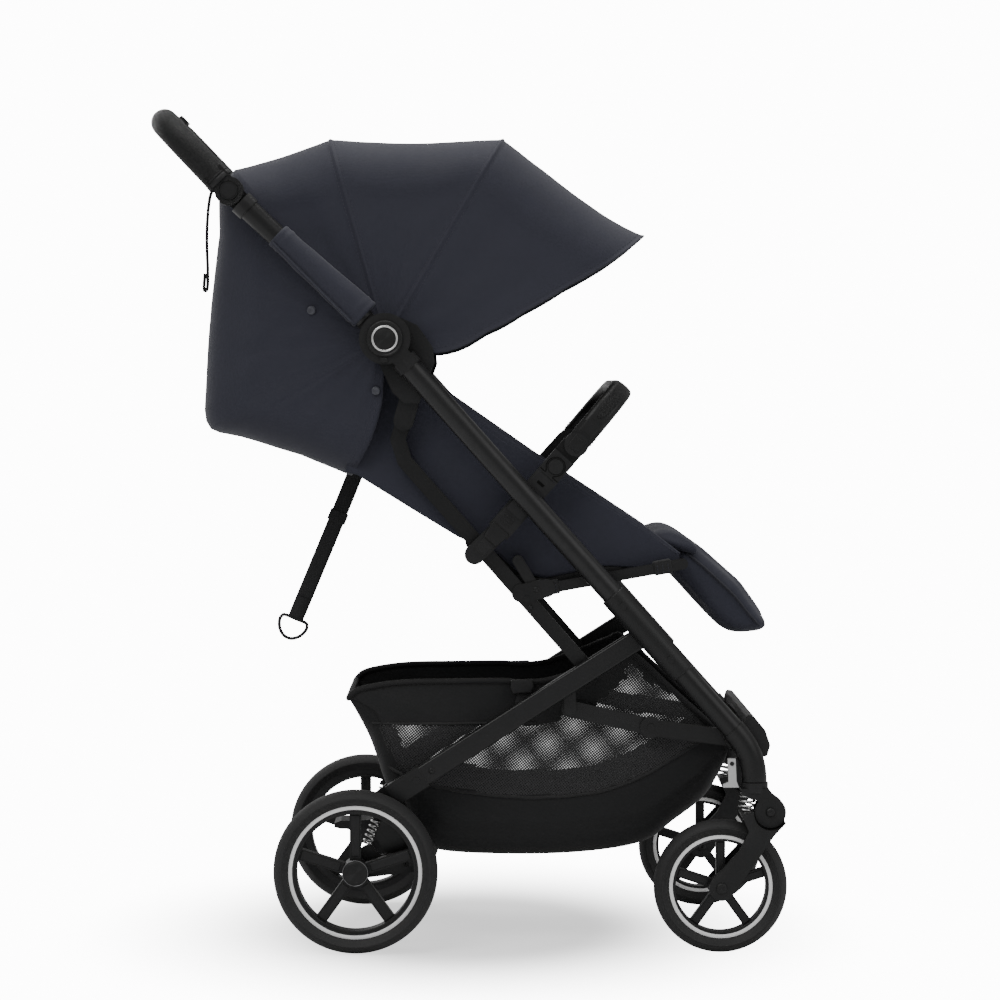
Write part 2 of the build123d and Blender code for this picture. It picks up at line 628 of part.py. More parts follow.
# ---- rear legs, beam, swing arms and links ---------------------------------
LEG_ANGLE = degrees(atan2(LEG_END[1] - LEG_PIVOT[1], LEG_END[0] - LEG_PIVOT[0]))
LEG_LENGTH = hypot(LEG_END[0] - LEG_PIVOT[0], LEG_END[1] - LEG_PIVOT[1])
for side, s in SIDES.items():
    with BuildPart() as leg:
        disc(LEG_PIVOT, 12.5, s * 161.5, s * 178.5)
        slab(
            [along(LEG_PIVOT, LEG_ANGLE, d, o)
             for d, o in ((0, 12.5), (LEG_LENGTH - 40, 12.5),
                          (LEG_LENGTH - 40, -12.5), (0, -12.5))],
            s * 161.5,
            s * 178.5,
        )
        fillet(leg.edges().filter_by(GeomType.LINE).filter_by(Axis.Y, reverse=True), 3.0)
        slab(
            [along(LEG_PIVOT, LEG_ANGLE, d, o)
             for d, o in ((LEG_LENGTH - 46, 13.6), (LEG_LENGTH, 13.6),
                          (LEG_LENGTH, -13.6), (LEG_LENGTH - 46, -13.6))],
            s * 160.9,
            s * 179.1,
        )
        disc(along(LEG_PIVOT, LEG_ANGLE, LEG_LENGTH - 36), 3.8, s * 178.0, s * 180.6)
        disc(LEG_PIVOT, 6.0 + RUN, s * 161.0, s * 181.0, Mode.SUBTRACT)
        flat_bar(LINK_A, along(LINK_A, 90, 18), 14.0, s * 162.0, s * 166.0)
        disc(LINK_A, 4.0, s * 151.0, s * 163.0)
    keep(leg.part, f"rear_leg_{side}")

    with BuildPart() as link_rear:
        flat_bar(LINK_A, LINK_K, 20.0, s * 152.0, s * 155.2)
        disc(LINK_K, 4.5, s * 150.5, s * 153.0)
        disc(LINK_A, 4.0 + RUN, s * 151.0, s * 157.0, Mode.SUBTRACT)
    keep(link_rear.part, f"knee_link_rear_{side}")

    with BuildPart() as link_front:
        flat_bar(LINK_K, LINK_B, 20.0, s * 156.0, s * 159.5)
        disc(LINK_K, 13.0, s * 156.0, s * 159.5)
        disc(LINK_K, 4.5, s * 159.0, s * 161.0)
        disc(LINK_B, 4.0 + RUN, s * 155.0, s * 161.0, Mode.SUBTRACT)
    keep(link_front.part, f"knee_link_front_{side}")

    with BuildPart() as swing:
        flat_bar(SWING_PIVOT, REAR_AXLE, 25.0, s * 171.2, s * 179.4)
        flat_bar(at(-112.0, 106.0), at(-122.0, 116.0), 20.0, s * 171.2, s * 179.4)
        disc(REAR_AXLE, 14.0, s * 171.2, s * 181.2)
        disc(REAR_AXLE, 6.0, s * 181.0, s * 217.0)
        disc(SWING_PIVOT, 6.0 + RUN, s * 170.0, s * 181.0, Mode.SUBTRACT)
    keep(swing.part, f"swing_arm_{side}")

    rim = wheel_rim(
        REAR_AXLE, s * REAR_WHEEL_Y, (69.5, 80.0), 15.5, 13.5, 18.0,
        6.0 + RUN, (s * 180.0, s * 218.0),
    )
    keep(rim, f"rear_rim_{side}")
    tyre = wheel_tyre(
        REAR_AXLE, s * REAR_WHEEL_Y, REAR_WHEEL_R, 80.0, REAR_TYRE_W, (86.0, 90.0)
    )
    keep(tyre, f"rear_tyre_{side}")

with BuildPart() as beam:
    rod(on(BEAM, -162.0), on(BEAM, 162.0), 11.0)
    for s in SIDES.values():
        slab(
            [at(-113.0, 172.0), at(-113.0, 188.0), at(-100.0, 199.0), at(-78.0, 176.0),
             at(-66.0, 152.0), at(-58.0, 128.0),
             at(-54.0, 106.0), at(-62.0, 94.0), at(-76.0, 92.0), at(-86.0, 104.0),
             at(-106.0, 122.0), at(-114.0, 140.0)],
            s * 160.5,
            s * 170.6,
        )
        disc(SWING_PIVOT, 6.0, s * 165.0, s * 180.4)
        slab(
            [at(-106.0, 166.0), at(-88.0, 165.0), at(-80.0, 150.0), at(-104.0, 150.0),
             at(-112.0, 156.0)],
            s * 165.0,
            s * 180.0,
        )
        slab(
            [along(LEG_PIVOT, LEG_ANGLE, d, o)
             for d, o in ((LEG_LENGTH - 60, 13.7), (LEG_LENGTH + 0.1, 13.7),
                          (LEG_LENGTH + 0.1, -13.7), (LEG_LENGTH - 60, -13.7))],
            s * 160.0,
            s * 181.0,
            Mode.SUBTRACT,
        )
    for y in (-32.0, 32.0):
        rod(on(BEAM, y - 3), on(BEAM, y + 3), 14.0)
keep(beam.part, "rear_beam")

with BuildPart() as pedal:
    rod(on(BEAM, -28.6), on(BEAM, 28.6), 16.0)
    slab(
        [at(-98.0, 143.0), at(-128.0, 138.0), at(-160.0, 137.0), at(-168.0, 134.0),
         at(-168.0, 129.0), at(-160.0, 127.0), at(-128.0, 127.0), at(-98.0, 117.0)],
        -28.6,
        28.6,
    )
    rod(on(BEAM, -29.0), on(BEAM, 29.0), 11.0 + RUN, mode=Mode.SUBTRACT)
keep(pedal.part, "brake_pedal")

# ---- storage basket: open tub ----------------------------------------------
BASKET = [
    at(-146.0, 299.0), at(-132.0, 310.0), at(-84.0, 318.0), at(44.0, 320.0),
    at(60.0, 318.0), at(100.0, 322.0), at(180.0, 352.0), at(196.0, 354.0),
    at(300.0, 258.0), at(312.0, 236.0), at(306.0, 214.0), at(286.0, 178.0),
    at(246.0, 146.0), at(211.7, 122.0), at(150.0, 110.0), at(62.5, 105.0),
    at(-36.0, 108.0), at(-58.0, 128.0), at(-101.0, 190.0), at(-112.0, 222.0),
    at(-136.0, 280.0),
]
CAVITY = [
    at(-141.0, 330.0), at(-132.5, 282.0), at(-108.5, 223.0), at(-98.0, 191.0),
    at(-56.0, 131.0), at(-35.0, 111.5), at(62.5, 108.5), at(150.0, 113.5),
    at(210.5, 125.3), at(244.5, 149.0), at(283.5, 180.5), at(303.0, 215.5),
    at(308.2, 236.0), at(297.0, 256.5), at(190.0, 370.0),
]
with BuildPart() as basket:
    slab(BASKET, -BASKET_HALF, BASKET_HALF)
    for s in SIDES.values():
        slab(
            [at(0.0, 244.0), at(22.0, 244.0), at(22.0, 258.0), at(0.0, 258.0)],
            s * (BASKET_HALF - 1.0),
            s * 160.7,
        )
    slab([at(300.0, 238.0), at(300.0, 247.0), at(335.0, 247.0), at(339.5, 238.0)], -60.0, 60.0)
    slab(CAVITY, -(BASKET_HALF - 3.0), BASKET_HALF - 3.0, Mode.SUBTRACT)
keep(basket.part, "basket")

# ---- front swivels, forks and wheels ---------------------------------------
FORK = [
    at(322.0, 168.0), at(331.5, 147.0), at(320.0, 124.0), at(288.0, 90.0),
    at(310.0, 68.0), at(347.0, 121.0), at(361.5, 142.0), at(375.5, 157.0),
    at(372.0, 172.0), at(345.0, 171.0),
]
for side, s in SIDES.items():
    with BuildPart() as swivel:
        with BuildSketch(Plane(origin=(SWIVEL[0], s * TUBE_Y, 203.6), z_dir=(0, 0, -1))):
            Circle(16.6)
        extrude(amount=12.0)
        with BuildSketch(Plane(origin=(SWIVEL[0], s * TUBE_Y, 203.0), z_dir=(0, 0, 1))):
            Circle(6.0)
        extrude(amount=1.2)
        slab(
            [at(323.0, 197.0), at(356.0, 197.0), at(362.0, 189.0), at(371.0, 182.0),
             at(376.0, 172.0), at(370.0, 158.0), at(352.0, 176.0), at(338.0, 185.0),
             at(324.0, 189.0)],
            s * (TUBE_Y - 14.5),
            s * (TUBE_Y + 14.5),
        )
        disc(FORK_BOLT, 18.5, s * (TUBE_Y - 14.5), s * (TUBE_Y + 14.5))
        for low, high in ((-9.4, 9.4),):
            disc(FORK_BOLT, 19.0, s * (TUBE_Y + low), s * (TUBE_Y + high), Mode.SUBTRACT)
            slab(
                [at(340.0, 180.0), at(352.0, 184.0), at(376.0, 150.0), at(340.0, 150.0)],
                s * (TUBE_Y + low),
                s * (TUBE_Y + high),
                Mode.SUBTRACT,
            )
        disc(FORK_BOLT, 5.0, s * (TUBE_Y - 14.5), s * (TUBE_Y + 15.6))
    keep(swivel.part, f"swivel_head_{side}")

    with BuildPart() as fork:
        slab(FORK, s * (TUBE_Y - 26.5), s * (TUBE_Y + 26.5))
        disc(FRONT_AXLE, 15.0, s * (TUBE_Y - 26.5), s * (TUBE_Y + 26.5))
        for low, high in ((-27.0, -8.8), (8.8, 27.0)):
            disc(FORK_BOLT, 20.6, s * (TUBE_Y + low), s * (TUBE_Y + high), Mode.SUBTRACT)
        disc(FORK_BOLT, 14.0, s * (TUBE_Y - 8.8), s * (TUBE_Y + 8.8))
        disc(
            FRONT_AXLE, FRONT_WHEEL_R + 3.3,
            s * (TUBE_Y - 19.0), s * (TUBE_Y + 19.0), Mode.SUBTRACT,
        )
        disc(FORK_BOLT, 5.0 + RUN, s * (TUBE_Y - 9.0), s * (TUBE_Y + 9.0), Mode.SUBTRACT)
        disc(FRONT_AXLE, 5.0, s * (TUBE_Y - 20.0), s * (TUBE_Y + 20.0))
        disc(FRONT_AXLE, 6.5, s * (TUBE_Y + 26.0), s * (TUBE_Y + 28.0))
    keep(fork.part, f"front_fork_{side}")

    rim = wheel_rim(
        FRONT_AXLE, s * TUBE_Y, (54.0, 62.0), 13.0, 11.0, 17.0,
        5.0 + RUN, (s * (TUBE_Y - 18.0), s * (TUBE_Y + 18.0)),
    )
    keep(rim, f"front_rim_{side}")
    tyre = wheel_tyre(
        FRONT_AXLE, s * TUBE_Y, FRONT_WHEEL_R, 62.0, FRONT_TYRE_W, (68.0, 71.5)
    )
    keep(tyre, f"front_tyre_{side}")
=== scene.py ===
"""Looks of a compact folding stroller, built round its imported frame.

Metres, +Z up, +X the way the child faces. Side r is the child's right (-Y).
"""

import math
import random

import bmesh
import bpy
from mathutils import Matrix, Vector, noise
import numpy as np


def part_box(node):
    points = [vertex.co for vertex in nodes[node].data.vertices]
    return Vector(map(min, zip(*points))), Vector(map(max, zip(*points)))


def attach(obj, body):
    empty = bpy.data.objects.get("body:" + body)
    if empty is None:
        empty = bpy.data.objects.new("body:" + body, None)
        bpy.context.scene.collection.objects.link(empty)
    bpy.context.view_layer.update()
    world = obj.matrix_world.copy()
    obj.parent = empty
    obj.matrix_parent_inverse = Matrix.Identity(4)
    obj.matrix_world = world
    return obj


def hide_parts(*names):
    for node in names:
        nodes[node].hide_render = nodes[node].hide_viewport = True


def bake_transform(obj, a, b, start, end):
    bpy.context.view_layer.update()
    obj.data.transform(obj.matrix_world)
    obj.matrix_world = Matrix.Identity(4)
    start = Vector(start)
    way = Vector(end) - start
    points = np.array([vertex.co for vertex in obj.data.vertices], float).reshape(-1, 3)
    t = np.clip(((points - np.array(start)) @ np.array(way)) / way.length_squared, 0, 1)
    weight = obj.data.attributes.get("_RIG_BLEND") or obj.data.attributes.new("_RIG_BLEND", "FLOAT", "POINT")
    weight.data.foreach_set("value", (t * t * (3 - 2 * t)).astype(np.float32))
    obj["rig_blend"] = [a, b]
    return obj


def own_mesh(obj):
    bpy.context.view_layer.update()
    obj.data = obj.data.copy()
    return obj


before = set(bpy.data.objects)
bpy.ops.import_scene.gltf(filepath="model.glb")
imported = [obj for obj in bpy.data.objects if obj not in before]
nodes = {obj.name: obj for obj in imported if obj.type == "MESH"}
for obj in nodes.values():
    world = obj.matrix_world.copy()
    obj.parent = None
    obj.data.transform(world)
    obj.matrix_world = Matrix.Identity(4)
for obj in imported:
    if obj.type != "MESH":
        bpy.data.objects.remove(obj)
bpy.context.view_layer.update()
random.seed(7)

MM = 0.001
X_SHIFT = 1.7
SIDES = {"r": -1, "l": 1}
TUBE_Y = 195.5


# ---- points of the side view, in millimetres ------------------------------
def at(x, z):
    """A side-view point in the row frame."""
    return (x + X_SHIFT, z)


def along(start, angle, distance, offset=0.0):
    """A point at a distance along a direction, then square to it."""
    c, s = math.cos(math.radians(angle)), math.sin(math.radians(angle))
    return (start[0] + distance * c - offset * s, start[1] + distance * s + offset * c)


def place(point, y):
    """A side-view point at a depth, in metres."""
    return Vector((point[0], y, point[1])) * MM


HUB = at(-100.4, 731.7)
ARM_ANGLE = 136.5
GRIP_ANGLE = 133.6
FRAME_ANGLE = -48.3
BACK_ANGLE = 150.7
BUMPER_ANGLE = 48.5
RAIL_ANGLE = 10.3
RAIL_SLOPE = 0.182
STRAP_ANGLE = -112.5
KNUCKLE = along(HUB, ARM_ANGLE, 253.7)
GRIP_REACH = 118.0
BAR_ANGLE = 50.0
BAR_REACH = 84.0
BACK_HINGE = at(58.0, 466.0)
FORK_BOLT = at(358.0, 168.8)
FRONT_AXLE = at(299.2, 79.7)
REAR_AXLE = at(-135.8, 98.0)
BUMPER_FOOT = at(30.0, 497.0)
BUMPER_HINGE = at(127.6, 606.0)
LEG_PIVOT = at(208.0, 376.5)
LEG_FOOT = at(-94.4, 184.2)
GRIP_BEND = 62.0
GRIP_INSIDE = 16.4
BAR_BEND = 52.0
BAR_SIDE = 120.5


# ---- shared surface effects -------------------------------------------------
def effect(name, inputs, outputs):
    """New shader node group with named float inputs and outputs."""
    tree = bpy.data.node_groups.new(name, "ShaderNodeTree")
    for label, value in inputs.items():
        socket = tree.interface.new_socket(label, in_out="INPUT", socket_type="NodeSocketFloat")
        socket.default_value = value
    for label in outputs:
        tree.interface.new_socket(label, in_out="OUTPUT", socket_type="NodeSocketFloat")
    return tree, tree.nodes.new("NodeGroupInput"), tree.nodes.new("NodeGroupOutput")


def math_node(tree, operation, first, second=None, clamp=False):
    """Math node fed by sockets or plain numbers; returns its output."""
    node = tree.nodes.new("ShaderNodeMath")
    node.operation = operation
    node.use_clamp = clamp
    for slot, value in enumerate((first, second)):
        if value is None:
            continue
        if isinstance(value, (int, float)):
            node.inputs[slot].default_value = value
        else:
            tree.links.new(value, node.inputs[slot])
    return node.outputs[0]


def vector_node(tree, operation, first, second=None, scale=None):
    """Vector math node; returns the node."""
    node = tree.nodes.new("ShaderNodeVectorMath")
    node.operation = operation
    tree.links.new(first, node.inputs[0])
    if second is not None:
        node.inputs[1].default_value = second
    if scale is not None:
        tree.links.new(scale, node.inputs["Scale"])
    return node


def place_noise(tree, vector, scale, detail=3.0, roughness=0.6):
    """Noise texture; returns its value socket."""
    node = tree.nodes.new("ShaderNodeTexNoise")
    node.inputs["Detail"].default_value = detail
    node.inputs["Roughness"].default_value = roughness
    tree.links.new(vector, node.inputs["Vector"])
    if isinstance(scale, (int, float)):
        node.inputs["Scale"].default_value = scale
    else:
        tree.links.new(scale, node.inputs["Scale"])
    return node.outputs[0]


def make_weave():
    """Crossed threads, with slubs that vary from place to place."""
    tree, given, result = effect("woven_threads", {"Threads": 5200.0, "Slub": 60.0}, ["Height", "Shade"])
    where = tree.nodes.new("ShaderNodeTexCoord").outputs["Object"]
    scaled = vector_node(tree, "SCALE", where, scale=given.outputs["Threads"]).outputs[0]
    waves = vector_node(tree, "SINE", scaled).outputs[0]
    cross = vector_node(tree, "DOT_PRODUCT", waves, (1.0, 1.0, 1.0)).outputs["Value"]
    slub = place_noise(tree, where, given.outputs["Slub"], 4.0)
    height = math_node(tree, "ADD", math_node(tree, "MULTIPLY", cross, 0.22), slub)
    tree.links.new(height, result.inputs["Height"])
    cloud = place_noise(tree, where, 9.0, 2.0)
    shade = math_node(tree, "MULTIPLY", math_node(tree, "ADD", cloud, slub), 0.5)
    tree.links.new(shade, result.inputs["Shade"])
    return tree


def make_wear():
    """Mask that is high on convex edges, broken up by noise."""
    tree, given, result = effect("edge_wear", {"Reach": 8.0}, ["Mask"])
    edge = tree.nodes.new("ShaderNodeNewGeometry").outputs["Pointiness"]
    where = tree.nodes.new("ShaderNodeTexCoord").outputs["Object"]
    lifted = math_node(tree, "SUBTRACT", edge, 0.52)
    strong = math_node(tree, "MULTIPLY", lifted, given.outputs["Reach"], clamp=True)
    broken = math_node(tree, "MULTIPLY", strong, place_noise(tree, where, 90.0), clamp=True)
    tree.links.new(broken, result.inputs["Mask"])
    return tree


def make_grain():
    """Fine moulded or powder-coated grain and slow variation."""
    tree, given, result = effect("fine_grain", {"Grain": 1800.0}, ["Height", "Cloud"])
    where = tree.nodes.new("ShaderNodeTexCoord").outputs["Object"]
    tree.links.new(place_noise(tree, where, given.outputs["Grain"], 2.0), result.inputs["Height"])
    tree.links.new(place_noise(tree, where, 26.0, 3.0), result.inputs["Cloud"])
    return tree


def make_pebble():
    """Pebbled leather: rounded cells with creases between them."""
    tree, given, result = effect("leather_pebble", {"Cells": 620.0}, ["Height", "Crease"])
    where = tree.nodes.new("ShaderNodeTexCoord").outputs["Object"]
    cells = tree.nodes.new("ShaderNodeTexVoronoi")
    cells.feature = "DISTANCE_TO_EDGE"
    tree.links.new(where, cells.inputs["Vector"])
    tree.links.new(given.outputs["Cells"], cells.inputs["Scale"])
    crease = math_node(tree, "MULTIPLY", cells.outputs["Distance"], 3.2, clamp=True)
    soft = math_node(tree, "POWER", crease, 0.5)
    fine = math_node(tree, "MULTIPLY", place_noise(tree, where, 2600.0, 2.0), 0.25)
    tree.links.new(math_node(tree, "ADD", soft, fine), result.inputs["Height"])
    tree.links.new(crease, result.inputs["Crease"])
    return tree


def make_dust():
    """Thin dust that settles on what faces up."""
    tree, given, result = effect("settled_dust", {"Amount": 0.25}, ["Mask"])
    facing = tree.nodes.new("ShaderNodeNewGeometry").outputs["Normal"]
    split = tree.nodes.new("ShaderNodeSeparateXYZ")
    tree.links.new(facing, split.inputs[0])
    where = tree.nodes.new("ShaderNodeTexCoord").outputs["Object"]
    patch = place_noise(tree, where, 34.0, 5.0, 0.7)
    up = math_node(tree, "MULTIPLY", split.outputs["Z"], patch, clamp=True)
    tree.links.new(math_node(tree, "MULTIPLY", up, given.outputs["Amount"]), result.inputs["Mask"])
    return tree


def make_net():
    """Open net: 1 on the yarn and 0 in the holes, on walls that run along X."""
    tree, given, result = effect("open_net", {"Pitch": 2400.0, "Open": 0.12, "Thread": 0.75},
        ["Yarn", "Height"])
    where = tree.nodes.new("ShaderNodeTexCoord").outputs["Object"]
    turned = tree.nodes.new("ShaderNodeMapping")
    turned.inputs["Rotation"].default_value = (0.0, math.radians(38.0), 0.0)
    tree.links.new(where, turned.inputs["Vector"])
    scaled = vector_node(tree, "SCALE", turned.outputs[0], scale=given.outputs["Pitch"]).outputs[0]
    waves = vector_node(tree, "SINE", scaled).outputs[0]
    squares = vector_node(tree, "MULTIPLY", waves, (1.0, 0.0, 1.0)).outputs[0]
    split = tree.nodes.new("ShaderNodeSeparateXYZ")
    tree.links.new(squares, split.inputs[0])
    both = math_node(tree, "MAXIMUM", split.outputs["X"], split.outputs["Z"])
    yarn = math_node(tree, "GREATER_THAN", both, given.outputs["Open"])
    thread = math_node(tree, "MAXIMUM", yarn, given.outputs["Thread"])
    tree.links.new(thread, result.inputs["Yarn"])
    tree.links.new(both, result.inputs["Height"])
    return tree


WEAVE = make_weave()
WEAR = make_wear()
GRAIN = make_grain()
PEBBLE = make_pebble()
DUST = make_dust()
NET = make_net()


class Finish:
    """A material being made: a Principled shader and what feeds it."""

    def __init__(self, name, colour, roughness, metallic=0.0):
        self.material = bpy.data.materials.new(name)
        self.material.use_nodes = True
        self.tree = self.material.node_tree
        self.shader = self.tree.nodes["Principled BSDF"]
        self.shader.inputs["Metallic"].default_value = metallic
        self.colour = colour
        self.rough = None
        self.base_rough = roughness

    def use(self, group, **values):
        """Place a shared effect with its own values; returns its outputs."""
        node = self.tree.nodes.new("ShaderNodeGroup")
        node.node_tree = group
        for label, value in values.items():
            node.inputs[label].default_value = value
        return node.outputs

    def tint(self, mask, colour, strength=1.0):
        """Mix another colour in by a mask that varies over the surface."""
        mix = self.tree.nodes.new("ShaderNodeMix")
        mix.data_type = "RGBA"
        amount = math_node(self.tree, "MULTIPLY", mask, strength, clamp=True)
        self.tree.links.new(amount, mix.inputs["Factor"])
        if isinstance(self.colour, tuple):
            mix.inputs["A"].default_value = (*self.colour, 1.0)
        else:
            self.tree.links.new(self.colour, mix.inputs["A"])
        mix.inputs["B"].default_value = (*colour, 1.0)
        self.colour = mix.outputs["Result"]

    def roughen(self, mask, low, high):
        """Roughness that runs between two values with a mask."""
        spread = math_node(self.tree, "MULTIPLY", mask, high - low)
        self.rough = math_node(self.tree, "ADD", spread, low, clamp=True)

    def bump(self, height, strength, distance):
        """Raise the surface by a height that varies over it."""
        node = self.tree.nodes.new("ShaderNodeBump")
        node.inputs["Strength"].default_value = strength
        node.inputs["Distance"].default_value = distance
        self.tree.links.new(height, node.inputs["Height"])
        self.tree.links.new(node.outputs[0], self.shader.inputs["Normal"])

    def done(self):
        """Join colour and roughness to the shader."""
        self.tree.links.new(self.colour, self.shader.inputs["Base Color"])
        if self.rough is None:
            self.shader.inputs["Roughness"].default_value = self.base_rough
        else:
            self.tree.links.new(self.rough, self.shader.inputs["Roughness"])
        return self.material


def cloth_finish(name, colour, lighter, sheen, threads=5200.0, bump=0.35):
    """Woven polyester: threads, slubs, soft sheen and a little dust."""
    made = Finish(name, colour, 0.8)
    weave = made.use(WEAVE, Threads=threads)
    made.tint(weave["Shade"], lighter, 0.75)
    dust = made.use(DUST, Amount=0.05)
    made.tint(dust["Mask"], (0.25, 0.24, 0.22), 1.0)
    made.roughen(weave["Shade"], 0.62, 0.86)
    made.bump(weave["Height"], bump, 0.0004)
    made.shader.inputs["Sheen Weight"].default_value = sheen
    made.shader.inputs["Sheen Roughness"].default_value = 0.45
    made.shader.inputs["Specular IOR Level"].default_value = 0.35
    return made.done()


def hard_finish(name, colour, roughness, grain, wear=0.3, coat=0.0, metallic=0.0, worn=(0.10, 0.10, 0.105),
                level=0.5):
    """Moulded plastic or powder coat: grain, dust and worn edges."""
    made = Finish(name, colour, roughness, metallic)
    fine = made.use(GRAIN, Grain=grain)
    edge = made.use(WEAR)
    made.tint(fine["Cloud"], tuple(c * 1.35 for c in colour), 0.5)
    made.tint(edge["Mask"], worn, wear)
    dust = made.use(DUST, Amount=0.035)
    made.tint(dust["Mask"], (0.3, 0.29, 0.27), 1.0)
    made.roughen(fine["Cloud"], roughness - 0.06, roughness + 0.08)
    made.bump(fine["Height"], 0.25, 0.0002)
    made.shader.inputs["Specular IOR Level"].default_value = level
    made.shader.inputs["Coat Weight"].default_value = coat
    made.shader.inputs["Coat Roughness"].default_value = 0.25
    return made.done()


def leather_finish(name, colour):
    """Leather-like grip cover with pebble grain and polished high spots."""
    made = Finish(name, colour, 0.45)
    pebble = made.use(PEBBLE)
    edge = made.use(WEAR, Reach=5.0)
    made.tint(pebble["Crease"], tuple(c * 1.6 for c in colour), 0.6)
    made.tint(edge["Mask"], (0.06, 0.06, 0.06), 0.2)
    made.roughen(pebble["Crease"], 0.52, 0.34)
    made.bump(pebble["Height"], 0.8, 0.0006)
    made.shader.inputs["Specular IOR Level"].default_value = 0.3
    return made.done()


def net_finish(name, colour):
    """Black net that lets the background through its holes."""
    made = Finish(name, colour, 0.6)
    net = made.use(NET)
    weave = made.use(WEAVE, Threads=7000.0)
    made.tint(weave["Shade"], tuple(c * 3 for c in colour), 0.5)
    made.bump(net["Height"], 0.3, 0.0004)
    made.tree.links.new(net["Yarn"], made.shader.inputs["Alpha"])
    return made.done()


NAVY = cloth_finish("navy_canopy_cloth", (0.0185, 0.0195, 0.031), (0.034, 0.035, 0.052), 0.12)
NAVY_SEAT = cloth_finish("navy_seat_cloth", (0.017, 0.018, 0.029), (0.032, 0.033, 0.050), 0.10)
NAVY_INSIDE = cloth_finish("navy_lining", (0.012, 0.0125, 0.019), (0.022, 0.023, 0.032), 0.05)
BLACK_CLOTH = cloth_finish("black_basket_cloth", (0.0055, 0.0055, 0.006), (0.012, 0.012, 0.0125), 0.05)
WEBBING = cloth_finish("black_webbing", (0.008, 0.008, 0.0085), (0.02, 0.02, 0.021), 0.1, 3200.0, 0.7)
BLACK_NET = net_finish("black_net", (0.006, 0.006, 0.0065))
FRAME_COAT = hard_finish("black_frame_coat", (0.0048, 0.0048, 0.0051), 0.33, 2600.0, 0.10, 0.05, level=0.36)
PLASTIC = hard_finish("black_plastic", (0.0068, 0.0068, 0.0071), 0.42, 1500.0, 0.14, level=0.34)
RIM_PLASTIC = hard_finish("rim_plastic", (0.0062, 0.0062, 0.0065), 0.42, 1700.0, 0.16, level=0.34)
TYRE = hard_finish("tyre_rubber", (0.017, 0.017, 0.0173), 0.66, 900.0, 0.08, level=0.4)
WHITE_RING = hard_finish("pale_ring", (0.86, 0.86, 0.855), 0.4, 1500.0, 0.1, worn=(0.5, 0.5, 0.5))
GREY_PLASTIC = hard_finish("grey_lever_plastic", (0.5, 0.5, 0.5), 0.45, 1400.0, 0.15, worn=(0.4, 0.4, 0.4))
SILVER = hard_finish("satin_silver", (0.75, 0.75, 0.745), 0.26, 2200.0, 0.2, 0.0, 1.0, (0.8, 0.8, 0.8))
STEEL = hard_finish("dark_steel", (0.16, 0.16, 0.165), 0.28, 2200.0, 0.3, 0.0, 1.0, (0.4, 0.4, 0.4))
GRIP = leather_finish("grip_leather", (0.0048, 0.0048, 0.005))


# ---- mesh makers --------------------------------------------------------------
def make_piece(name, verts, faces, material):
    """Mesh object from points and faces, normals facing out."""
    mesh = bpy.data.meshes.new(name)
    mesh.from_pydata([tuple(v) for v in verts], [], faces)
    mesh.validate()
    built = bmesh.new()
    built.from_mesh(mesh)
    bmesh.ops.remove_doubles(built, verts=built.verts, dist=1e-6)
    bmesh.ops.recalc_face_normals(built, faces=built.faces)
    built.to_mesh(mesh)
    built.free()
    mesh.polygons.foreach_set("use_smooth", [True] * len(mesh.polygons))
    piece = bpy.data.objects.new(name, mesh)
    bpy.context.scene.collection.objects.link(piece)
    mesh.materials.append(material)
    return piece


def skin(rows, wrap=False, ends=False):
    """Points and quads of a surface through rows of points."""
    width = len(rows[0])
    verts = [v for row in rows for v in row]
    faces = []
    for i in range(len(rows) - 1):
        for j in range(width if wrap else width - 1):
            k = (j + 1) % width
            faces.append((i * width + j, i * width + k, (i + 1) * width + k, (i + 1) * width + j))
    if ends and wrap:
        faces.append(tuple(reversed(range(width))))
        last = (len(rows) - 1) * width
        faces.append(tuple(last + j for j in range(width)))
    return verts, faces


def add_modifier(piece, kind, **values):
    """New modifier with its settings."""
    modifier = piece.modifiers.new(kind.lower(), kind)
    for label, value in values.items():
        setattr(modifier, label, value)
    return modifier


def apply_modifiers(piece):
    """Bake the modifiers into the mesh."""
    bpy.context.view_layer.update()
    depsgraph = bpy.context.evaluated_depsgraph_get()
    mesh = bpy.data.meshes.new_from_object(piece.evaluated_get(depsgraph))
    piece.modifiers.clear()
    piece.data = mesh
    return piece


def smooth_line(points, steps=8, closed=False):
    """Catmull-Rom line through points."""
    pts = [Vector(p) for p in points]
    count = len(pts)
    line = []
    for i in range(count if closed else count - 1):
        a = pts[(i - 1) % count] if closed or i else pts[0]
        b, c = pts[i], pts[(i + 1) % count]
        d = pts[(i + 2) % count] if closed or i + 2 < count else pts[-1]
        for k in range(steps):
            t = k / steps
            line.append(
                0.5 * ((2 * b) + (c - a) * t + (2 * a - 5 * b + 4 * c - d) * t * t
                       + (3 * b - a - 3 * c + d) * t ** 3)
            )
    if not closed:
        line.append(pts[-1])
    return line


def resample(line, count):
    """Evenly spaced points along a line."""
    lengths = [0.0]
    for a, b in zip(line, line[1:]):
        lengths.append(lengths[-1] + (b - a).length)
    result, k = [], 0
    for n in range(count):
        goal = lengths[-1] * n / (count - 1)
        while k < len(lengths) - 2 and lengths[k + 1] < goal:
            k += 1
        span = lengths[k + 1] - lengths[k]
        t = (goal - lengths[k]) / span if span > 1e-12 else 0.0
        result.append(line[k].lerp(line[k + 1], min(max(t, 0.0), 1.0)))
    return result


def direction(line, i):
    """Which way a line runs at its point i."""
    return (line[min(i + 1, len(line) - 1)] - line[max(i - 1, 0)]).normalized()


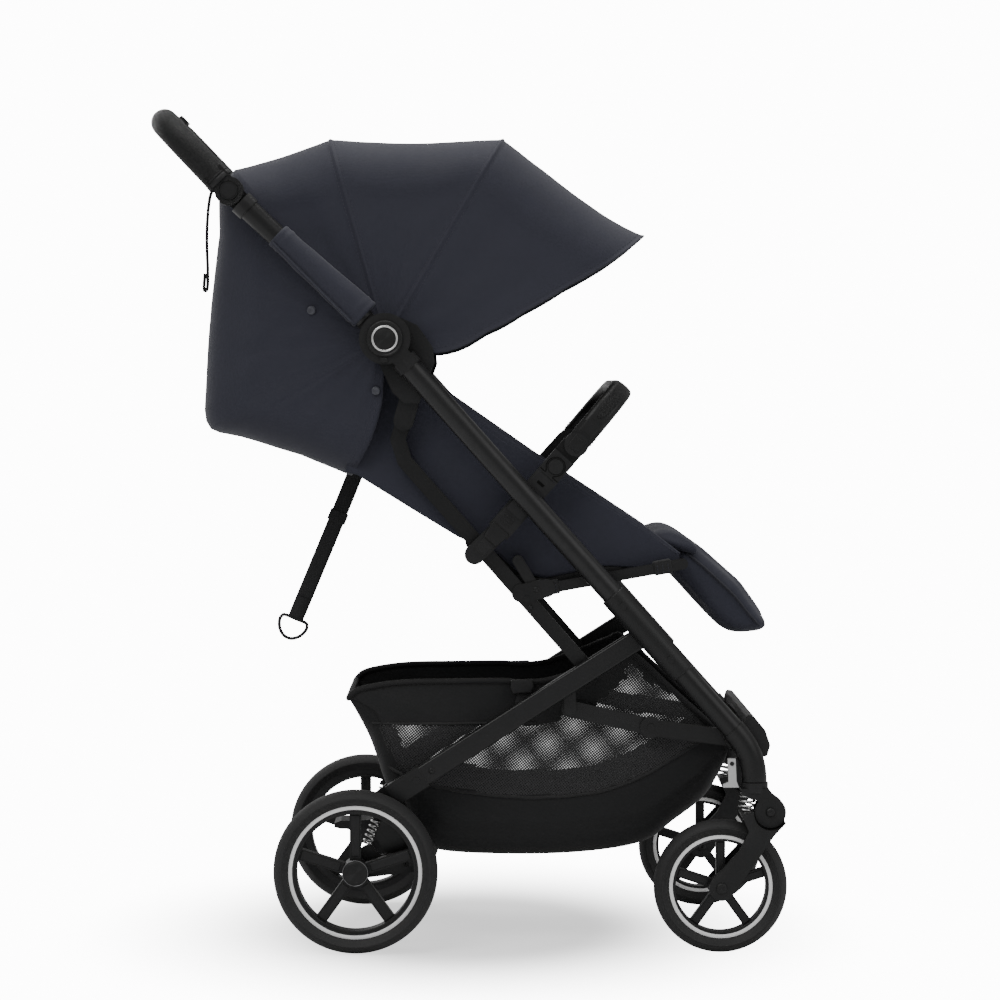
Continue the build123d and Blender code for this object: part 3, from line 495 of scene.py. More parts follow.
def turned(name, profile, centre, axis, material, steps=48):
    """Lathe-turned piece; profile is (radius, height) in millimetres along the axis."""
    axis = Vector(axis).normalized()
    side = axis.orthogonal().normalized()
    other = axis.cross(side)
    rows = []
    for radius, height in profile:
        rows.append([
            centre + (axis * height + (side * math.cos(a) + other * math.sin(a)) * max(radius, 0.01)) * MM
            for a in (2 * math.pi * k / steps for k in range(steps))
        ])
    hollow = profile[0][0] > 0.5 and profile[-1][0] > 0.5
    if hollow:
        rows.append(rows[0])
    verts, faces = skin(rows, wrap=True, ends=not hollow)
    return make_piece(name, verts, faces, material)


def rivet(name, point, y, side, radius, body, rise=1.6):
    """Domed rivet head facing out to one side."""
    head = turned(
        name,
        [(radius, -0.6), (radius, 0.3), (radius * 0.93, rise * 0.55), (radius * 0.7, rise * 0.9),
         (radius * 0.35, rise * 1.05), (radius * 0.3, rise * 0.8), (0.01, rise * 0.8)],
        place(point, y), (0, side, 0), PLASTIC, 28,
    )
    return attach(head, body)


def round_tube(name, line, radius, material, sides=14, flat=1.0):
    """Tube along a line; flat squeezes it one way."""
    rows = []
    normal = None
    for i, p in enumerate(line):
        ahead = direction(line, i)
        side = ahead.orthogonal() if normal is None else normal - ahead * normal.dot(ahead)
        side.normalize()
        normal = side
        other = ahead.cross(side).normalized()
        rows.append([
            p + (side * math.cos(a) + other * math.sin(a) * flat) * radius * MM
            for a in (2 * math.pi * k / sides for k in range(sides))
        ])
    verts, faces = skin(rows, wrap=True, ends=True)
    return make_piece(name, verts, faces, material)


def strap(name, line, across, width, thickness, material):
    """Flat webbing along a line, with rolled edges."""
    across = Vector(across).normalized()
    half, t = width / 2, thickness / 2
    outline = [(-half, 0), (-half * 0.94, t), (-half * 0.4, t * 1.08), (0, t * 0.95), (half * 0.4, t * 1.08),
               (half * 0.94, t), (half, 0), (half * 0.94, -t), (0, -t), (-half * 0.94, -t)]
    rows = []
    for i, p in enumerate(line):
        ahead = direction(line, i)
        up = ahead.cross(across).normalized()
        rows.append([p + (across * u + up * v) * MM for u, v in outline])
    verts, faces = skin(rows, wrap=True, ends=True)
    return make_piece(name, verts, faces, material)


def moulded_plate(name, outline, y_in, y_out, material, bevel=1.2, segments=3):
    """Moulded piece with a side-view outline, its edges rounded."""
    low, high = min(y_in, y_out), max(y_in, y_out)
    count = len(outline)
    verts = [place(p, low) for p in outline] + [place(p, high) for p in outline]
    faces = [tuple(range(count)), tuple(reversed(range(count, 2 * count)))]
    faces += [(i, (i + 1) % count, count + (i + 1) % count, count + i) for i in range(count)]
    piece = make_piece(name, verts, faces, material)
    add_modifier(piece, "BEVEL", width=bevel * MM, segments=segments, limit_method="ANGLE",
                 angle_limit=math.radians(28), harden_normals=True)
    return piece


# ---- hard pieces that come from the frame as they are ------------------------------
COATS = {
    FRAME_COAT: ("front_tube", "push_arm", "rear_leg", "back_strut", "seat_frame", "canopy_bow",
                 "knee_link", "rear_beam", "front_bracket"),
    PLASTIC: ("frame_connector", "hub", "bumper_adapter", "bumper_arm", "bumper_button",
              "front_cross_member", "bumper_bar", "tilt_button", "fold_trigger", "swing_arm", "brake_pedal",
              "swivel_head", "front_fork"),
    GRIP: ("handlebar",),
    TYRE: ("rear_tyre", "front_tyre"),
    RIM_PLASTIC: ("rear_rim", "front_rim"),
    GREY_PLASTIC: ("swivel_lock",),
}
BEVELS = {"rear_rim": 1.6, "front_rim": 1.3, "front_fork": 2.4, "swivel_head": 2.0, "hub": 1.6,
          "bumper_adapter": 3.0, "bumper_arm": 3.0, "brake_pedal": 2.5, "swing_arm": 2.0,
          "rear_beam": 1.4, "knee_link": 0.8, "back_strut": 2.6, "swivel_lock": 1.0,
          "seat_frame": 1.5, "rear_leg": 1.0}


def dress_frame():
    """Give every hard node its finish and soften its sharp edges."""
    for name, piece in nodes.items():
        for coat, starts in COATS.items():
            if name.startswith(starts):
                piece.data.materials.clear()
                piece.data.materials.append(coat)
        for start, width in BEVELS.items():
            if name.startswith(start):
                add_modifier(piece, "BEVEL", width=width * MM, segments=3, limit_method="ANGLE",
                             angle_limit=math.radians(35), use_clamp_overlap=True)


dress_frame()


# ---- canopy and rear shell: one sheet round the hub ------------------------------
def polar(angle, radius):
    """A side-view point round the hub."""
    return along(HUB, angle, radius)


def table(pairs, x):
    """Linear look-up in pairs sorted by their first number."""
    if x <= pairs[0][0]:
        return pairs[0][1]
    for (a, u), (b, v) in zip(pairs, pairs[1:]):
        if x <= b:
            return u + (v - u) * (x - a) / (b - a)
    return pairs[-1][1]


BOWS = (22.1, 59.8, 105.7)
BOW_REACH = (335.7, 280.4, 251.6)
SEAM_START, SEAM_END = 213.0, 255.4
RAD_PER_DEG = 0.0175
# The hem hangs below the front bow, and the back seam curves in under the hub.
HEM_HANG = [(16, -41.0), (54, -41.0), (71, -35.0), (119, -18.5), (172, -10.5), (227, -5.9),
            (283, -3.2), (318, -1.2), (336, 0.0)]
SEAM_CURVE = [(16, 12.0), (73, 11.4), (122, 6.3), (170, 0.0)]
CANOPY_HALF = 165.0
CORNER = 60.0


def outer_line():
    """Side-view outline of the sheet with closer steps by the bows, and the sag share."""
    knots = [polar(a, r) for a, r in zip(BOWS, BOW_REACH)]
    knots += [at(x, z) for x, z in (
        (-283.9, 937.1), (-299.5, 918.0), (-303.4, 898.0), (-303.4, 858.7), (-309.0, 810.2), (-313.6, 770.0),
        (-318.5, 700.0), (-321.8, 646.8), (-320.0, 633.0), (-314.0, 623.5), (-303.0, 618.9), (-278.0, 614.3),
        (-205.4, 592.3), (-143.2, 567.0))]
    line = []
    for i, (a, b) in enumerate(zip(knots, knots[1:])):
        dip = (4.5, 4.5, 2.5)[i] if i < 3 else 0.0
        length = math.hypot(b[0] - a[0], b[1] - a[1])
        steps = max(2, round(length / 7.0))
        shares = [k / steps for k in range(steps)]
        if i < 3:
            near = [d / length for d in (1.6, 3.2, 4.8)]
            shares = sorted(set(shares + near + [1 - d for d in near]))
        for t in shares:
            x, z = a[0] + (b[0] - a[0]) * t, a[1] + (b[1] - a[1]) * t
            away = math.hypot(x - HUB[0], z - HUB[1])
            sag = 4 * t * (1 - t)
            scale = 1 - dip * sag / away
            line.append((HUB[0] + (x - HUB[0]) * scale, HUB[1] + (z - HUB[1]) * scale,
                         sag if i < 3 else 0.3 * sag))
    line.append((*knots[-1], 0.0))
    return line


def u_path(reach, inner=16.0):
    """Half of the section: out along the side, round the corner, to the middle."""
    path = [(inner + (reach - CORNER - inner) * k / 22.0, CANOPY_HALF) for k in range(22)]
    for k in range(11):
        a = math.radians(9.0 * k)
        path.append((reach - CORNER + CORNER * math.sin(a), CANOPY_HALF - CORNER + CORNER * math.cos(a)))
    path += [(reach, (CANOPY_HALF - CORNER) * (1 - k / 9.0)) for k in range(1, 10)]
    return path


def sheet_point(index, line, k, half, path):
    """Point k of one section with sag, seams and soft wrinkles; also its fold angle."""
    x, z, sag = line[index]
    reach = math.hypot(x - HUB[0], z - HUB[1])
    angle = math.degrees(math.atan2(z - HUB[1], x - HUB[0])) % 360
    r, y = path[k]
    crown = 0.0
    if k > 32:
        crown = 1 - (y / (CANOPY_HALF - CORNER)) ** 2
    bent = angle
    if angle < BOWS[1]:
        bent += table(HEM_HANG, r) * max(0.0, (BOWS[1] - angle) / (BOWS[1] - BOWS[0])) ** 1.6
    if angle > SEAM_START:
        bent += table(SEAM_CURVE, r) * (angle - SEAM_START) / (SEAM_END - SEAM_START)
    share = r / reach
    ridge = 0.0
    for bow in BOWS:
        off = math.radians(angle - bow) * r
        ridge += 1.1 * math.exp(-(off / 1.7) ** 2) - 0.5 * math.exp(-((abs(off) - 4.6) / 1.5) ** 2)
    from_hem = (angle - BOWS[0]) * RAD_PER_DEG * reach
    ridge -= 0.5 * math.exp(-(from_hem - 8.0) ** 2 / 2.0)
    if r > 190:
        ridge -= 0.35 * math.exp(-(from_hem - 44.0) ** 2 / 3.0)
    if angle < 106:
        r_out = r - 3.2 * sag * crown
    else:
        r_out = r + 2.0 * crown * math.sin(math.radians(min(max((angle - 106) * 2.4, 0), 180)))
    spot = Vector((x * 0.012, y * half * 0.012, (z + r) * 0.012))
    wrinkle = noise.noise(spot) * 1.1 + noise.noise(spot * 2.7) * 0.5
    fan = math.sin(math.radians(angle) * 23 + half) * 0.5 * (1 - share) * share * 4
    inward = 2.6 * sag * math.sin(math.pi * min(share, 1)) if k < 22 else 0.0
    push = ridge + wrinkle + fan
    a = math.radians(bent)
    if k < 22:
        y_out = y + push - inward
    elif k <= 32:
        turn = math.radians(9.0 * (k - 22))
        y_out = y + push * math.cos(turn)
        r_out += push * math.sin(turn)
    else:
        y_out, r_out = y, r_out + push
    point = Vector((HUB[0] + r_out * math.cos(a), half * y_out, HUB[1] + r_out * math.sin(a)))
    return point * MM, angle


def fold_share(angle):
    """How much of the front bow's turn a ray takes."""
    return min(max((BOWS[2] - angle) / (BOWS[2] - BOWS[0]), 0.0), 1.0)


def stitch_run(places, normal_out, length=2.6, gap=1.8, wide=0.42):
    """Short raised thread stitches along a line of places; verts and faces."""
    verts, faces, shares = [], [], []
    total, walk = 0.0, [0.0]
    for (a, _), (b, _) in zip(places, places[1:]):
        total += (b - a).length
        walk.append(total)
    pitch = (length + gap) * MM
    for n in range(int(total / pitch)):
        s0 = n * pitch
        ends = []
        for goal in (s0, s0 + length * MM):
            k = max(0, min(len(walk) - 2, next((i for i, w in enumerate(walk) if w > goal), len(walk)) - 1))
            t = (goal - walk[k]) / max(walk[k + 1] - walk[k], 1e-9)
            p = places[k][0].lerp(places[k + 1][0], t)
            ends.append((p, places[k][1] + (places[k + 1][1] - places[k][1]) * t))
        (p, w0), (q, w1) = ends
        out = normal_out(p.lerp(q, 0.5))
        ahead = (q - p).normalized()
        side = ahead.cross(out).normalized() * wide * MM
        lift = out * 0.55 * MM
        base = len(verts)
        for centre, weight, grow in ((p, w0, 0.3), (p.lerp(q, 0.3), w0, 1.0), (p.lerp(q, 0.7), w1, 1.0),
            (q, w1, 0.3)):
            for a in (-1, 0, 1):
                verts.append(centre + side * a * grow + lift * (1.0 if a == 0 else 0.35) * grow)
                shares.append(weight)
        for row in range(3):
            for c in range(2):
                i = base + row * 3 + c
                faces.append((i, i + 1, i + 4, i + 3))
    return verts, faces, shares


def build_canopy():
    """The whole fabric round the hub, with bow seams, hem and stitches."""
    line = outer_line()
    rows, angles = [], []
    for index in range(len(line)):
        reach = math.hypot(line[index][0] - HUB[0], line[index][1] - HUB[1])
        path = u_path(reach)
        near = [sheet_point(index, line, k, -1, path) for k in range(len(path))]
        far = [sheet_point(index, line, k, 1, path) for k in range(len(path) - 2, -1, -1)]
        rows.append([p for p, _ in near + far])
        angles.append([a for _, a in near + far])
    verts, faces = skin(rows)
    mesh = bpy.data.meshes.new("canopy_sheet")
    mesh.from_pydata([tuple(v) for v in verts], [], faces)
    turn = mesh.attributes.new("fold_angle", "FLOAT", "POINT")
    turn.data.foreach_set("value", [a for row in angles for a in row])
    mesh.materials.append(NAVY)
    mesh.materials.append(NAVY_INSIDE)
    mesh.materials.append(THREAD)
    sheet = bpy.data.objects.new("canopy_sheet", mesh)
    bpy.context.scene.collection.objects.link(sheet)
    built = bmesh.new()
    built.from_mesh(mesh)
    bmesh.ops.recalc_face_normals(built, faces=built.faces)
    top = max(built.faces, key=lambda f: f.calc_center_median().z)
    if top.normal.z < 0:
        bmesh.ops.reverse_faces(built, faces=built.faces)
    built.to_mesh(mesh)
    built.free()
    add_modifier(sheet, "SOLIDIFY", thickness=2.2 * MM, offset=-1.0, material_offset=1, material_offset_rim=0)
    apply_modifiers(sheet)
    mesh = sheet.data
    angle_of = [0.0] * len(mesh.vertices)
    mesh.attributes["fold_angle"].data.foreach_get("value", angle_of)
    weights = [fold_share(a) for a in angle_of]
    mesh.attributes.remove(mesh.attributes["fold_angle"])

    sewn_v, sewn_f, sewn_w = [], [], []

    def sew(places):
        """Add a line of stitches to the sheet."""
        def outwards(p):
            """Which way the cloth faces."""
            away = Vector((p.x - HUB[0] * MM, 0, p.z - HUB[1] * MM))
            flat = Vector((0, p.y, 0)).normalized()
            lean = max(0.0, (abs(p.y) / MM - (CANOPY_HALF - CORNER)) / CORNER)
            return (flat * lean + away.normalized() * (1 - lean)).normalized()
        v, f, s = stitch_run(places, outwards)
        base = len(sewn_v)
        sewn_v.extend(v)
        sewn_f.extend(tuple(i + base for i in face) for face in f)
        sewn_w.extend(s)

    spots = []
    for i, (x, z, _) in enumerate(line):
        spots.append(math.degrees(math.atan2(z - HUB[1], x - HUB[0])) % 360)
    for bow, offset in STITCH_LINES:
        places = []
        start = min(range(len(spots)), key=lambda i: abs(spots[i] - bow))
        step = 1 if offset > 0 else -1
        for j in range(3, len(rows[0]) - 3):
            around = [(rows[i][j], spots[i]) for i in range(len(rows))]
            left, k = abs(offset) * MM, start
            while 0 <= k + step < len(rows):
                gap = (around[k + step][0] - around[k][0]).length
                if gap >= left:
                    break
                left -= gap
                k += step
            if not 0 <= k + step < len(rows):
                continue
            t = left / max(gap, 1e-9)
            places.append((around[k][0].lerp(around[k + step][0], t),
                           fold_share(spots[k] + (spots[k + step] - spots[k]) * t)))
        sew(places)
    count = len(mesh.vertices)
    built = bmesh.new()
    built.from_mesh(mesh)
    fresh = [built.verts.new(v) for v in sewn_v]
    built.verts.ensure_lookup_table()
    for face in sewn_f:
        made = built.faces.new([fresh[i] for i in face])
        made.material_index = 2
    built.to_mesh(mesh)
    built.free()
    mesh.polygons.foreach_set("use_smooth", [True] * len(mesh.polygons))
    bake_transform(sheet, "frame", "canopy_front", start=tuple(place(HUB, 0)),
        end=tuple(place(polar(BOWS[0], 300), 0)))
    mesh = sheet.data
    mesh.attributes["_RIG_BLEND"].data.foreach_set("value", weights + sewn_w)
    assert len(weights) == count
    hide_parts("rear_shell", "canopy_panel_mid", "canopy_panel_front")
    return sheet


THREAD = cloth_finish("seam_thread", (0.028, 0.029, 0.042), (0.05, 0.052, 0.07), 0.05, 9000.0, 0.5)
# The ray that a line of stitches follows, and how far off it the line is.
STITCH_LINES = ((BOWS[0], 7.0), (BOWS[1], 5.2), (BOWS[1], -5.2), (BOWS[2], 5.2), (BOWS[2], -5.2),
                (SEAM_END, -6.0), (SEAM_END, -11.0))
build_canopy()


# ---- padded pieces ------------------------------------------------------------------
def rounded_prism(name, outline, half, material, corner=14.0, inset=0.0):
    """Closed block from a side-view outline, its width rounded at both ends."""
    pts = [Vector((x, 0, z)) for x, z in outline]
    middle = sum(pts, Vector()) / len(pts)
    line = resample(pts + [pts[0]], 73)[:-1]
    rows = []
    for k in range(-8, 9):
        t = k / 8
        y = half * t
        edge = max(0.0, abs(y) - (half - corner)) / corner
        pull = inset + corner * 0.45 * (1 - math.sqrt(max(0.0, 1 - edge * edge)))
        row = []
        for i, p in enumerate(line):
            ahead = (line[(i + 1) % 72] - line[i - 1]).normalized()
            inward = Vector((-ahead.z, 0, ahead.x))
            if inward.dot(middle - p) < 0:
                inward = -inward
            row.append((p + inward * pull + Vector((0, y, 0))) * MM)
        rows.append(row)
    verts, faces = skin(rows, wrap=True, ends=True)
    return make_piece(name, verts, faces, material)


def puff(piece, cap, voxel=0.006, pressure=4.0):
    """Swell a closed piece like stuffed cloth, no point moving further than cap (mm)."""
    remesh = add_modifier(piece, "REMESH", mode="VOXEL", voxel_size=voxel)
    remesh.use_smooth_shade = True
    apply_modifiers(piece)
    start = [v.co.copy() for v in piece.data.vertices]
    facing = [v.normal.copy() for v in piece.data.vertices]
    cloth = piece.modifiers.new("swell", "CLOTH")
    cloth.settings.use_pressure = True
    cloth.settings.uniform_pressure_force = pressure
    cloth.settings.effector_weights.gravity = 0.0
    cloth.settings.quality = 5
    scene = bpy.context.scene
    for step in range(1, 21):
        scene.frame_set(step)
    apply_modifiers(piece)
    scene.frame_set(1)
    for v, old, out in zip(piece.data.vertices, start, facing):
        move = v.co - old
        inward = move.dot(out)
        if inward < 0:
            move -= out * inward
            v.co = old + move
        if move.length > cap * MM:
            v.co = old + move.normalized() * cap * MM
    add_modifier(piece, "SUBSURF", levels=1, render_levels=1)
    apply_modifiers(piece)
    piece.data.polygons.foreach_set("use_smooth", [True] * len(piece.data.polygons))
    return piece


def along_back(distance, offset, y):
    """A point up the backrest, off it and to a side."""
    return place(along(BACK_HINGE, BACK_ANGLE, distance, offset), y)


BACK_OUT = Vector((-math.sin(math.radians(BACK_ANGLE)), 0, math.cos(math.radians(BACK_ANGLE)))) * -1.0


def back_place(point):
    """Distance up the back, height off it and y, for a point in mm."""
    dx, dz = point.x - BACK_HINGE[0], point.z - BACK_HINGE[1]
    c, s = math.cos(math.radians(BACK_ANGLE)), math.sin(math.radians(BACK_ANGLE))
    return dx * c + dz * s, -dx * s + dz * c, point.y


def build_backrest():
    """Padded back with sewn channels and a piped edge."""
    outline = [along(BACK_HINGE, BACK_ANGLE, d, o) for d, o in
               ((16, -1), (120, 0), (250, 0), (392, -1), (398, -8), (392, -15), (250, -16), (120, -16),
                   (24, -15), (16, -8))]
    pad = rounded_prism("backrest_pad", outline, 125.0, NAVY_SEAT, 12.0)
    puff(pad, 6.0)
    for v in pad.data.vertices:
        d, o, y = back_place(v.co / MM)
        if o > -8:
            continue
        seam = 0.0
        for line_y in (-62.0, 62.0):
            seam += math.exp(-((y - line_y) / 3.4) ** 2)
        for line_d in (96.0, 196.0, 296.0):
            if abs(y) < 62:
                seam = max(seam, math.exp(-((d - line_d) / 3.4) ** 2))
        v.co -= BACK_OUT * min(seam, 1.0) * 3.4 * MM
    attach(pad, "backrest")
    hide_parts("backrest")
    edge = [along_back(d, -9, y) for d, y in (
        (22, -124), (120, -129.5), (250, -129.5), (380, -129), (401, -112), (403, -40), (403, 40), (401, 112),
        (380, 129), (250, 129.5), (120, 129.5), (22, 124))]
    piping = round_tube("backrest_piping", smooth_line(edge, 8), 2.2, NAVY_INSIDE, 10)
    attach(piping, "backrest")


def build_leg_rest():
    """Padded calf rest with a seam round its edge."""
    outline = [at(x, z) for x, z in (
        (247, 491), (257, 494), (279.5, 479), (328.0, 436), (346.0, 411), (361.0, 390.0), (362.6, 383.0),
        (357.6, 377.6), (327, 374.5), (320.5, 375.5), (302.4, 387.6), (278.4, 413.5), (262, 432), (246, 448),
        (242.5, 463))]
    pad = rounded_prism("leg_rest_pad", outline, 125.0, NAVY_SEAT, 14.0, 1.5)
    puff(pad, 4.0)
    for v in pad.data.vertices:
        p = v.co / MM
        if v.normal.x * 0.67 + v.normal.z * 0.74 > 0.5 and abs(p.y) < 100:
            v.co -= Vector((0.67, 0, 0.74)) * 2.6 * MM * math.exp(-((abs(p.y) - 58.0) / 3.2) ** 2)
    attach(pad, "leg_rest")
    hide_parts("leg_rest")
    for label, s in SIDES.items():
        seam = [place(at(x, z), s * y) for x, z, y in (
            (262, 474, 126), (284, 456, 127.6), (318, 424, 127.8), (336, 402, 127.8), (350, 386, 126.5))]
        cord = round_tube(f"leg_rest_seam_{label}", smooth_line(seam, 8), 1.5, NAVY_INSIDE, 10)
        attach(cord, "leg_rest")


# ---- seat: side wings, cushion, base ---------------------------------------------
WING_TOP = [(-116, 694), (-84, 690), (-52, 683), (-12, 655), (81, 590), (157, 540), (217, 500), (239, 483),
            (253, 472)]
WING_FOOT = [(-150, 572), (-136, 569), (-75, 531), (-14, 494), (33, 474), (60, 450), (91, 444), (160, 459),
             (253, 455)]


def build_wing(label, s):
    """One side of the seat: a fabric wall with folds, piped along its top."""
    top = resample([place(at(x, z), 0) for x, z in WING_TOP], 91)
    foot = resample([place(at(x, z), 0) for x, z in WING_FOOT], 91)
    rows = []
    for i in range(91):
        row = []
        for k in range(29):
            t = k / 28
            p = top[i].lerp(foot[i], t)
            x, z = p.x / MM - X_SHIFT, p.z / MM
            belly = 1.6 * math.sin(math.pi * t) * math.sin(math.pi * i / 90)
            fold = noise.noise(Vector((x * 0.02, z * 0.02, s))) * 1.0
            if 20 < x < 180:
                slack = math.exp(-((x - 75) / 45) ** 2) * t * t
                fold += slack * (1.1 * math.sin(x * 0.10 + z * 0.06) - 0.4)
            y = 139.4 + min(max(belly + fold * (1 - abs(2 * t - 1) ** 4), -3.0), 3.2)
            row.append(Vector((p.x, s * y * MM, p.z)))
        rows.append(row)
    verts, faces = skin(rows)
    wing = make_piece(f"seat_wing_{label}", verts, faces, NAVY_SEAT)
    add_modifier(wing, "SOLIDIFY", thickness=2.4 * MM, offset=1.0)
    apply_modifiers(wing)
    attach(wing, "frame")
    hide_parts("seat")
    edge = round_tube(f"wing_piping_{label}", [p + Vector((0, s * 139.2 * MM, 0.4 * MM)) for p in top],
        2.3, NAVY_SEAT, 10)
    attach(edge, "frame")
    hem = [top[i].lerp(foot[i], 0.06) + Vector((0, s * 141.4 * MM, 0)) for i in range(4, 90)]
    line = round_tube(f"wing_hem_{label}", hem, 0.8, THREAD, 6)
    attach(line, "frame")
    return wing


def build_seat():
    """Cushion between the wings, and the sling under it."""
    outline = [at(x, z) for x, z in (
        (84, 478), (110, 477), (160, 480), (198, 486), (212, 489), (216, 482), (205, 472), (150, 465),
        (110, 463), (86, 463))]
    cushion = rounded_prism("seat_cushion", outline, 130.0, NAVY_SEAT, 12.0, 1.0)
    puff(cushion, 6.0)
    for v in cushion.data.vertices:
        p = v.co / MM
        if v.normal.z > 0.3:
            seam = max(math.exp(-((abs(p.y) - 70.0) / 3.4) ** 2), 0.0)
            v.co.z -= 3.2 * MM * seam
    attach(cushion, "frame")
    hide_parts("seat")
    rows = []
    for i in range(25):
        x = 78 + 150 * i / 24
        z = table([(78, 455), (120, 457), (200, 463), (228, 470)], x)
        rows.append([place(at(x, z - 3.0 * (1 - (y / 137.0) ** 2)), y)
            for y in (137.0 * (2 * k / 30 - 1) for k in range(31))])
    verts, faces = skin(rows)
    sling = make_piece("seat_sling", verts, faces, BLACK_CLOTH)
    add_modifier(sling, "SOLIDIFY", thickness=2.0 * MM, offset=0.0)
    apply_modifiers(sling)
    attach(sling, "frame")
    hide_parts("seat")


def build_knee_cover():
    """Padded fold of fabric that runs from the seat over the leg rest hinge."""
    over = smooth_line([place(at(x, z), 0) for x, z in (
        (204, 484), (213, 493), (226, 500), (240, 502.5), (253, 499), (266, 491), (274, 484))], 5)
    under = smooth_line([place(at(x, z), 0) for x, z in (
        (273, 477), (262, 480), (250, 483), (240, 484.5), (228, 483), (216, 479), (206, 474))], 5)
    profile = over + under
    rows = []
    for k in range(-20, 21):
        t = k / 20
        y = 131.0 * t
        droop = 5.0 * max(0.0, (abs(t) - 0.86) / 0.14) ** 2
        row = []
        for i, p in enumerate(profile):
            lump = noise.noise(Vector((p.x * 30, y * 0.02, 1.7))) * 0.7
            seam = -2.2 * math.exp(-((abs(y) - 62.0) / 3.4) ** 2) if i < len(over) else 0.0
            row.append(p + Vector((0, y, lump + seam - droop)) * MM)
        rows.append(row)
    verts, faces = skin(rows, wrap=True, ends=True)
    cover = make_piece("knee_cover", verts, faces, NAVY_SEAT)
    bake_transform(cover, "frame", "leg_rest", start=tuple(place(at(238.0, 498.0), 0)),
        end=tuple(place(at(262.0, 492.0), 0)))


def build_skirt(label, s):
    """Black cloth from the foot of the wing down to the seat rail."""
    top = smooth_line([place(at(x, z), s * 139.6) for x, z in (
        (22, 484), (34, 476), (60, 453), (91, 448), (160, 462), (220, 459), (246, 458))], 8)
    rows = []
    for p in top:
        x = p.x / MM - X_SHIFT
        rail = 434.5 + max(x - 80, -34) * RAIL_SLOPE + max(0.0, 66 - x)
        rail = min(rail, p.z / MM - 3)
        row = []
        for k in range(9):
            u = k / 8
            z = p.z / MM + (rail - p.z / MM) * u
            row.append(Vector((p.x, s * (139.4 + 1.2 * math.sin(u * 3) + 0.6 * math.sin(x * 0.3)) * MM,
                z * MM)))
        rows.append(row)
    verts, faces = skin(rows)
    skirt = make_piece(f"seat_skirt_{label}", verts, faces, BLACK_CLOTH)
    add_modifier(skirt, "SOLIDIFY", thickness=1.4 * MM, offset=0.0)
    apply_modifiers(skirt)
    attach(skirt, "frame")


def webbing(name, line, across, width, thick, material, body, blend=None):
    """Webbing that rides a body, or turns between two."""
    piece = strap(name, line, across, width, thick, material)
    if blend:
        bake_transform(piece, "backrest", "frame", *blend)
    else:
        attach(piece, body)
    return piece


def build_harness():
    """Five-point harness: shoulder, waist and crotch webbing with a plain buckle."""
    buckle_at = place(at(150.0, 506.0), 0)
    for label, s in SIDES.items():
        pts = [along_back(336, -16, s * 44), along_back(330, -27, s * 44), along_back(250, -28, s * 44),
               along_back(170, -29, s * 42), along_back(110, -32, s * 34), along_back(60, -42, s * 24),
               place(at(110.0, 507.0), s * 16), place(at(138.0, 507.0), s * 10)]
        line = smooth_line(pts, 7)
        webbing(f"shoulder_strap_{label}", line, (0, 1, 0), 24, 1.6, WEBBING, None,
              (tuple(along_back(120, -30, 0)), tuple(along_back(10, -40, 0))))
        pad_line = smooth_line([along_back(d, o, s * y) for d, o, y in (
            (318, -30, 44), (250, -31, 44), (176, -32, 42))], 10)
        rows = []
        for i, p in enumerate(pad_line):
            t = i / (len(pad_line) - 1)
            wide = 19.0 * (1 - 0.25 * abs(2 * t - 1) ** 4)
            high = 4.2 * (1 - abs(2 * t - 1) ** 8 * 0.7)
            rows.append([p + (Vector((0, 1, 0)) * wide * math.cos(a) * (1 - 0.12 * abs(math.sin(a)))
                + BACK_OUT * high * math.copysign(abs(math.sin(a)) ** 0.6, math.sin(a))) * MM
                         for a in (2 * math.pi * k / 20 for k in range(20))])
        verts, faces = skin(rows, wrap=True, ends=True)
        pad = make_piece(f"shoulder_pad_{label}", verts, faces, NAVY_SEAT)
        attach(pad, "backrest")
        waist = smooth_line([place(at(x, z), s * y) for x, z, y in (
            (86.0, 490.0, 118), (96.0, 496.0, 92), (122.0, 503.0, 50), (146.0, 506.0, 20))], 8)
        webbing(f"waist_strap_{label}", waist, (0.55, 0, 0.83), 24, 1.6, WEBBING, "frame")
        slide_at = along(BACK_HINGE, BACK_ANGLE, 160, -30)
        slide = moulded_plate(f"strap_slide_{label}", [along(slide_at, BACK_ANGLE, d, o) for d, o in (
            (-9, -3.4), (-9, 1), (9, 1), (9, -3.4))], s * 42 - 15, s * 42 + 15, PLASTIC, 1.2)
        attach(slide, "backrest")
    crotch = smooth_line([place(at(x, z), 0) for x, z in ((196.0, 490.0), (188.0, 499.0), (160.0, 505.5))], 8)
    webbing("crotch_strap", crotch, (0, 1, 0), 30, 2.0, WEBBING, "frame")
    shape = []
    for k in range(40):
        a = 2 * math.pi * k / 40
        shape.append((27 * math.copysign(abs(math.cos(a)) ** 0.6, math.cos(a)),
            24 * math.copysign(abs(math.sin(a)) ** 0.55, math.sin(a))))
    rows = []
    for shrink, up in ((0.86, -5.0), (0.97, -4.0), (1.0, 0.0), (0.97, 4.0), (0.86, 5.6), (0.45, 6.4),
        (0.44, 5.4), (0.40, 5.4), (0.38, 6.8), (0.2, 7.2)):
        rows.append([buckle_at + Vector((x * shrink, y * shrink, up + x * shrink * 0.08)) * MM
                     for x, y in shape])
    verts, faces = skin(rows, wrap=True, ends=True)
    buckle = make_piece("harness_buckle", verts, faces, PLASTIC)
    add_modifier(buckle, "SUBSURF", levels=1, render_levels=1)
    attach(buckle, "frame")


for label, s in SIDES.items():
    build_wing(label, s)
    build_skirt(label, s)
build_knee_cover()
build_seat()
build_backrest()
build_leg_rest()
build_harness()


